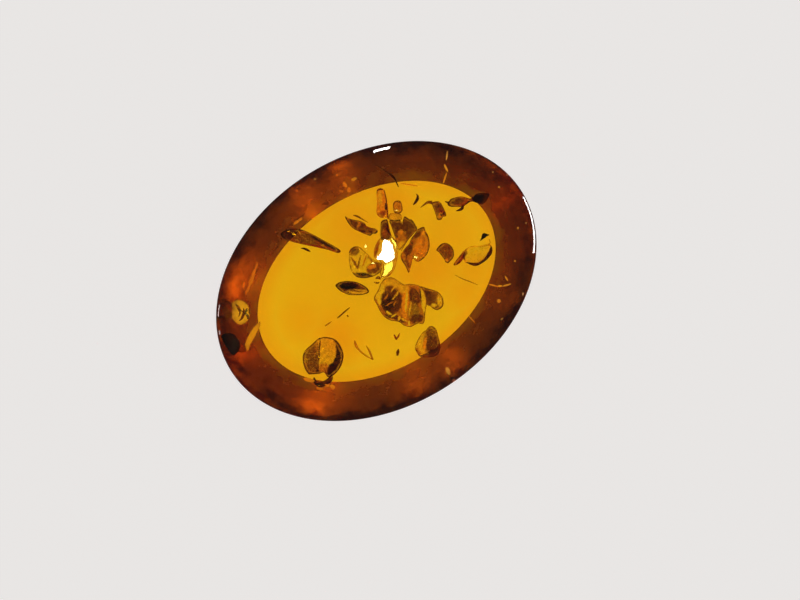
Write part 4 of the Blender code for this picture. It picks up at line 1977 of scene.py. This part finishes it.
        Tone.OCHRE, 0.55, rim=Tone.CLEAR, rim_width=0.6, dish=0.0, ripple=0.05, facing=Facing.FLANK, rim_highlight=0.0,
        worn=0.8, worn_tint="#ff9030",
    ),
    fleck("glow_streak_a", 256.5, 265.5, 4.4, 1.1, 108, Tone.RUSSET, worn_tint="#e04818"),
    fleck("glow_streak_b", 253.6, 273.5, 5.0, 1.5, 106, Tone.ORANGE, worn_tint="#ff5818"),
    fleck("glow_streak_c", 251.2, 281.0, 5.6, 1.9, 112, Tone.ORANGE, worn_tint="#ff6a1c"),
    fleck("glow_streak_d", 247.6, 290.0, 5.0, 1.3, 116, Tone.RUSSET, worn_tint="#e84c18"),
    fleck("glow_streak_e", 243.8, 285.0, 3.4, 1.0, 100, Tone.RUSSET, worn_tint="#b83414"),
    fleck("glow_streak_f", 257.4, 281.0, 3.4, 0.9, 110, Tone.RUSSET, worn_tint="#b83414"),
    fleck("glow_top_left_a", 345.0, 184.5, 3.2, 1.6, 60, Tone.ORANGE, worn_tint="#ff6e20"),
    fleck("glow_top_left_b", 348.8, 190.0, 2.8, 1.8, 90, Tone.ORANGE, worn_tint="#ff6018"),
    fleck("glow_top_left_c", 341.0, 191.0, 2.6, 1.1, 20, Tone.RUSSET, worn_tint="#c84018"),
    fleck("glow_bottom_a", 326.0, 385.5, 4.0, 1.5, 8, Tone.ORANGE, worn_tint="#ff6a1c"),
    fleck("glow_bottom_b", 332.6, 387.0, 2.8, 2.2, 40, Tone.ORANGE, worn_tint="#ff8c28"),
    fleck("glow_bottom_c", 320.0, 388.6, 4.2, 1.2, 10, Tone.RUSSET, worn_tint="#c84018"),
    fleck("glow_top_left_high", 354, 179, 3.0, 1.6, -20, Tone.RUSSET),
    fleck("glow_left_high", 296, 222.5, 3.2, 1.4, -35, Tone.RUSSET, worn_tint="#ff6a20"),
    fleck("glow_left_high_tip", 300.5, 219.5, 2.0, 1.0, -50, Tone.ORANGE, worn_tint="#ff8c30"),
    fleck("glow_bottom_left", 309, 380, 6.0, 2.0, 15, Tone.RUSSET),
    fleck("glow_low_right", 448, 371, 2.0, 4.0, -20, Tone.RUSSET),
    fleck("glow_low_right_spot", 454, 380.5, 1.6, 1.8, 0, Tone.ORANGE),
    fleck("glow_right", 499, 301, 1.8, 2.0, 0, Tone.RUSSET),
    fleck("fleck_right_a", 499, 187, 1.1, 0.9, 0, Tone.OCHRE),
    fleck("fleck_right_b", 493, 172, 0.9, 1.0, 0, Tone.OCHRE),
    fleck("fleck_right_c", 507, 175, 0.9, 0.9, 0, Tone.OCHRE),
    fleck("fleck_right_d", 518, 228, 1.0, 1.1, 0, Tone.OCHRE),
    fleck("fleck_right_e", 526, 223, 0.8, 0.9, 0, Tone.OCHRE),
    fleck("fleck_right_f", 515, 261, 1.0, 0.9, 0, Tone.OCHRE),
    fleck("fleck_top_a", 315, 179, 1.2, 1.0, 0, Tone.OCHRE),
    fleck("fleck_top_b", 337, 175, 1.1, 1.0, 0, Tone.OCHRE),
    fleck("streak_top_red", 447, 155, 0.8, 5.4, 8, Tone.ORANGE),
    fleck("streak_top_curl", 446, 168, 1.0, 4.2, -25, Tone.OCHRE),
    fleck("streak_top_ochre", 445, 178, 0.9, 6.0, 18, Tone.OCHRE),
    fleck("line_top_orange", 409, 184.6, 9.0, 0.6, 9, Tone.ORANGE),
    fleck("squiggle_right_a", 493.5, 285.4, 5.2, 0.8, 14, Tone.OCHRE),
    fleck("squiggle_right_b", 500, 286, 2.4, 1.0, 0, Tone.CLEAR),
    fleck("squiggle_right_c", 507, 285, 4.4, 0.8, -16, Tone.OCHRE),
    fleck("squiggle_right_d", 506.5, 278.5, 0.8, 3.0, -30, Tone.OCHRE),
    fleck("line_low_right", 472, 319.5, 4.4, 0.6, 48, Tone.ORANGE),
    fleck("mark_right_low", 502, 319, 1.6, 0.8, -40, Tone.OCHRE),
    fleck("mark_right", 523, 294, 0.8, 1.8, 10, Tone.OCHRE),
    Spangle(
        "gleam_under_highlight",
        ((383, 264), (388, 262), (394, 259), (394.5, 267), (391, 272), (386, 277), (381, 278), (383, 271)),
        Tone.CLEAR, 0.16, rim=Tone.CLEAR, dish=0.0, facing=Facing.LAMP, rim_highlight=0.0, thickness=0.03, veins=0.0,
    ),
    Spangle(
        "gleam_curl",
        ((389, 235.8), (393, 237.5), (396.4, 241.5), (397.6, 247.5), (396.4, 251), (394.8, 245.5),
         (391.5, 240.5)),
        Tone.CLEAR, 0.16, rim=Tone.CLEAR, dish=0.0, facing=Facing.LAMP, rim_highlight=0.0, thickness=0.03, veins=0.0,
    ),
    fleck("glint_folded", 365.6, 246.6, 1.4, 2.2, 10, Tone.CLEAR, Facing.LAMP, 0.1),
    fleck("glint_folded_low", 373, 263.2, 2.4, 1.1, 8, Tone.CLEAR, Facing.LAMP, 0.1),
    fleck("glint_petal", 415.6, 257, 2.6, 1.3, 15, Tone.CLEAR, Facing.LAMP, 0.1),
    fleck("glint_bubble", 396.3, 210.4, 1.7, 0.8, 0, Tone.CLEAR, Facing.LAMP, 0.1),
    Spangle(
        "feather_top",
        ((377, 190), (383, 189), (385.5, 196), (387, 206), (388, 216), (385, 217.8), (380, 217.3),
         (376.5, 213),
         (377, 203)),
        Tone.ORANGE, 0.4, (0.1, 0.1), Tone.AMBER_BROWN, 0.7, (
            Patch(382, 214, 5, 3, -25, Tone.RUSSET, 0.8),
            Patch(380, 198, 2, 8, 0, Tone.OCHRE, 1.0),
        ), ripple=0.05,
    ),
)

SLIVERS = (
    Sliver("splinter_left", (
        (300.5, 248.2, 0.2), (304, 248.6, 1.0), (308, 250.3, 1.1), (310.5, 251.8, 0.2),
    ), Tone.DARK, 0.5),
    Sliver("slit_top", (
        (353, 215.2, 0.3), (357, 216.2, 0.9), (362, 219, 0.6), (368, 222.5, 0.2),
    ), Tone.BROWN, 0.4),
    Sliver("hook_arm", (
        (420.5, 207.7, 0.3), (424, 204.8, 0.8), (428, 202.3, 1.3), (432, 202.5, 1.8),
    ), Tone.BROWN, 0.45),
    Sliver("crescent_top", (
        (413, 205, 0.4), (415.3, 202.5, 1.2), (417.6, 198.5, 1.5), (417.3, 195, 0.7),
        (415.5, 193.7, 0.2),
    ), Tone.DARK, 0.4),
    Sliver("leg_two_lobed", (
        (463, 205, 1.2), (462, 208.5, 1.5), (458.5, 210.3, 1.0), (456, 210.8, 0.3),
    ), Tone.DARK, 0.5),
    Sliver("nub_two_lobed", (
        (445, 201.5, 0.4), (447.2, 202.2, 0.9), (448.5, 203.6, 0.8),
    ), Tone.DARK, 0.5),
    Sliver("crescent_right_oval", (
        (466.5, 262.2, 0.3), (470.5, 263.4, 1.3), (475.5, 263.9, 2.1), (481, 261.3, 2.2),
        (486.5, 257, 2.2), (490.3, 252, 1.9), (491.3, 246.5, 0.5),
    ), Tone.BLACK, 0.43),
    Sliver("splinter_right", (
        (480, 241, 0.2), (482.5, 238, 1.3), (484.3, 235.5, 2.6), (486, 235.2, 1.6),
        (489.3, 234.8, 0.2),
    ), Tone.BLACK, 0.4),
    Sliver("line_right_oval", (
        (480, 247, 0.3), (485, 245.6, 0.4), (490, 243, 0.3), (489, 239, 0.2),
    ), Tone.AMBER_BROWN, 0.5),
    Sliver("crescent_low", (
        (314, 377.5, 0.6), (315.5, 382, 1.8), (320, 384.6, 2.6), (326, 382.6, 2.6),
        (330.5, 378.8, 2.3), (331.5, 374.5, 0.5),
    ), Tone.UMBER, 0.5, edge=Tone.BLACK),
    Sliver("leaf_line_left", (
        (354.5, 340.5, 0.5), (356, 345.5, 1.3), (359, 350, 0.8), (366, 355.8, 0.6),
        (372.5, 359.5, 0.4),
    ), Tone.AMBER_BROWN, 0.5),
    Sliver("leaf_line_right", (
        (366, 345.5, 0.2), (369.5, 351.5, 0.9), (372.8, 359.8, 0.8),
    ), Tone.AMBER_BROWN, 0.5),
    Sliver("speck_vee_left", (
        (394, 334.5, 0.5), (395.5, 337.5, 1.1), (396.5, 339.8, 0.6),
    ), Tone.RUSSET, 0.6),
    Sliver("speck_vee_right", (
        (399.7, 333, 0.3), (398.3, 336.5, 0.9), (396.2, 339.5, 0.6),
    ), Tone.RUSSET, 0.6),
    Sliver("speck_low", (
        (398.5, 349, 0.5), (397.8, 352, 1.6), (397.3, 355.8, 0.8),
    ), Tone.UMBER, 0.6),
    Sliver("rod", (
        (337.3, 318.2, 0.5), (341, 315, 0.8), (345.5, 311, 0.7), (349.8, 307.5, 0.4),
    ), Tone.UMBER, 0.4),
    Sliver("rod_dot", (
        (347, 315, 0.6), (348.3, 316.8, 0.7),
    ), Tone.UMBER, 0.4),
    Sliver("rod_low", (
        (325, 326, 0.4), (328, 324, 0.6), (331.5, 321.5, 0.3),
    ), Tone.RUSSET, 0.4),
    Sliver("mark_a", (
        (374, 282, 0.4), (377, 283, 0.9), (379.5, 282.5, 0.4),
    ), Tone.BROWN, 0.4),
    Sliver("mark_b", (
        (375.5, 278.5, 0.5), (378.5, 277.5, 1.5), (380.5, 279.3, 0.7),
    ), Tone.BROWN, 0.4),
    Sliver("feather_line", (
        (384, 190, 0.4), (386, 198, 0.6), (387.3, 208, 0.7), (388, 219, 0.6),
    ), Tone.RUSSET, 0.38),
    Sliver("dark_line_left", (
        (236, 337, 0.3), (239, 343, 1.2), (238, 350, 1.0), (233, 356, 0.3),
    ), Tone.DARK, 0.2),
    Sliver("ring_disc_vein_a", (
        (235, 304, 0.2), (238, 307, 1.4), (240, 312, 1.1), (238.5, 317, 0.3),
    ), Tone.OLIVE, 0.3),
    Sliver("ring_disc_vein_b", (
        (243, 308, 0.2), (244, 312, 1.3), (242, 318, 1.2), (239, 321, 0.3),
    ), Tone.BROWN, 0.3),
    Sliver("ring_disc_vein_c", (
        (237, 309, 0.2), (241, 310.5, 0.5), (245, 314, 0.2),
    ), Tone.BROWN, 0.3),
    Sliver("line_right_pale", (
        (455, 275, 0.2), (463, 279, 0.4), (471, 282, 0.4), (478, 285, 0.2),
    ), Tone.BROWN, 0.4),
    Sliver("line_petal_leaf", (
        (418, 229, 0.2), (409, 238, 0.5), (401, 251, 0.3),
    ), Tone.UMBER, 0.3),
    Sliver("ring_fissure", (
        (372, 164.5, 0.3), (380, 167.5, 0.7), (388, 173, 0.9), (394, 178, 1.0), (398.5, 187, 0.4),
    ), Tone.DARK, 0.5),
)


def put(piece: bpy.types.Object, finishes: tuple[bpy.types.Material, ...]) -> None:
    """Dress a piece and let it ride on the stone's body.

    Args:
        piece: The finished mesh.
        finishes: Its materials, in the order of its slots.
    """
    for finish in finishes:
        piece.data.materials.append(finish)
    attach(piece, BODY)
    LOG.info("%s: %d faces", piece.name, len(piece.data.polygons))


def part_walls(piece: bpy.types.Object, closed_below: float) -> None:
    """Give the dark parts of a crack's walls their second finish, by their painted tint.

    Args:
        piece: The crack.
        closed_below: A face with less red than this gets the second finish.
    """
    tints = piece.data.attributes["tint"].data
    for face in piece.data.polygons:
        red = sum(tints[index].color[0] for index in face.vertices) / len(face.vertices)
        if red < closed_below:
            face.material_index = 1


def main() -> None:
    """Build the stone, everything sealed in it and its studio, in order."""
    logging.basicConfig(level=logging.INFO, format="%(name)s: %(message)s")
    low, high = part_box(STONE_NODE)
    section = Section(high.x / MM, high.y / MM, high.z / MM)
    sighting = Sighting(section)
    worn = tuple(each.worn_spot(sighting) for each in SPANGLES if each.worn > 0.0)
    stone = Cabochon(section).build()
    put(stone, (CognacAmber(sighting, worn, STAINS).material(),))
    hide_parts(STONE_NODE)
    lamp = BESIDE.middle(sighting)
    crack = StressCrack()
    walls = (crack.clear_wall(), crack.dark_wall())
    for gap in (*SPANGLES, *SLIVERS):
        piece = gap.build(sighting, lamp)
        put(piece, walls)
        part_walls(piece, crack.closed_below)
    Studio(sighting, LAMPS).build()


if __name__ == "__main__":
    main()
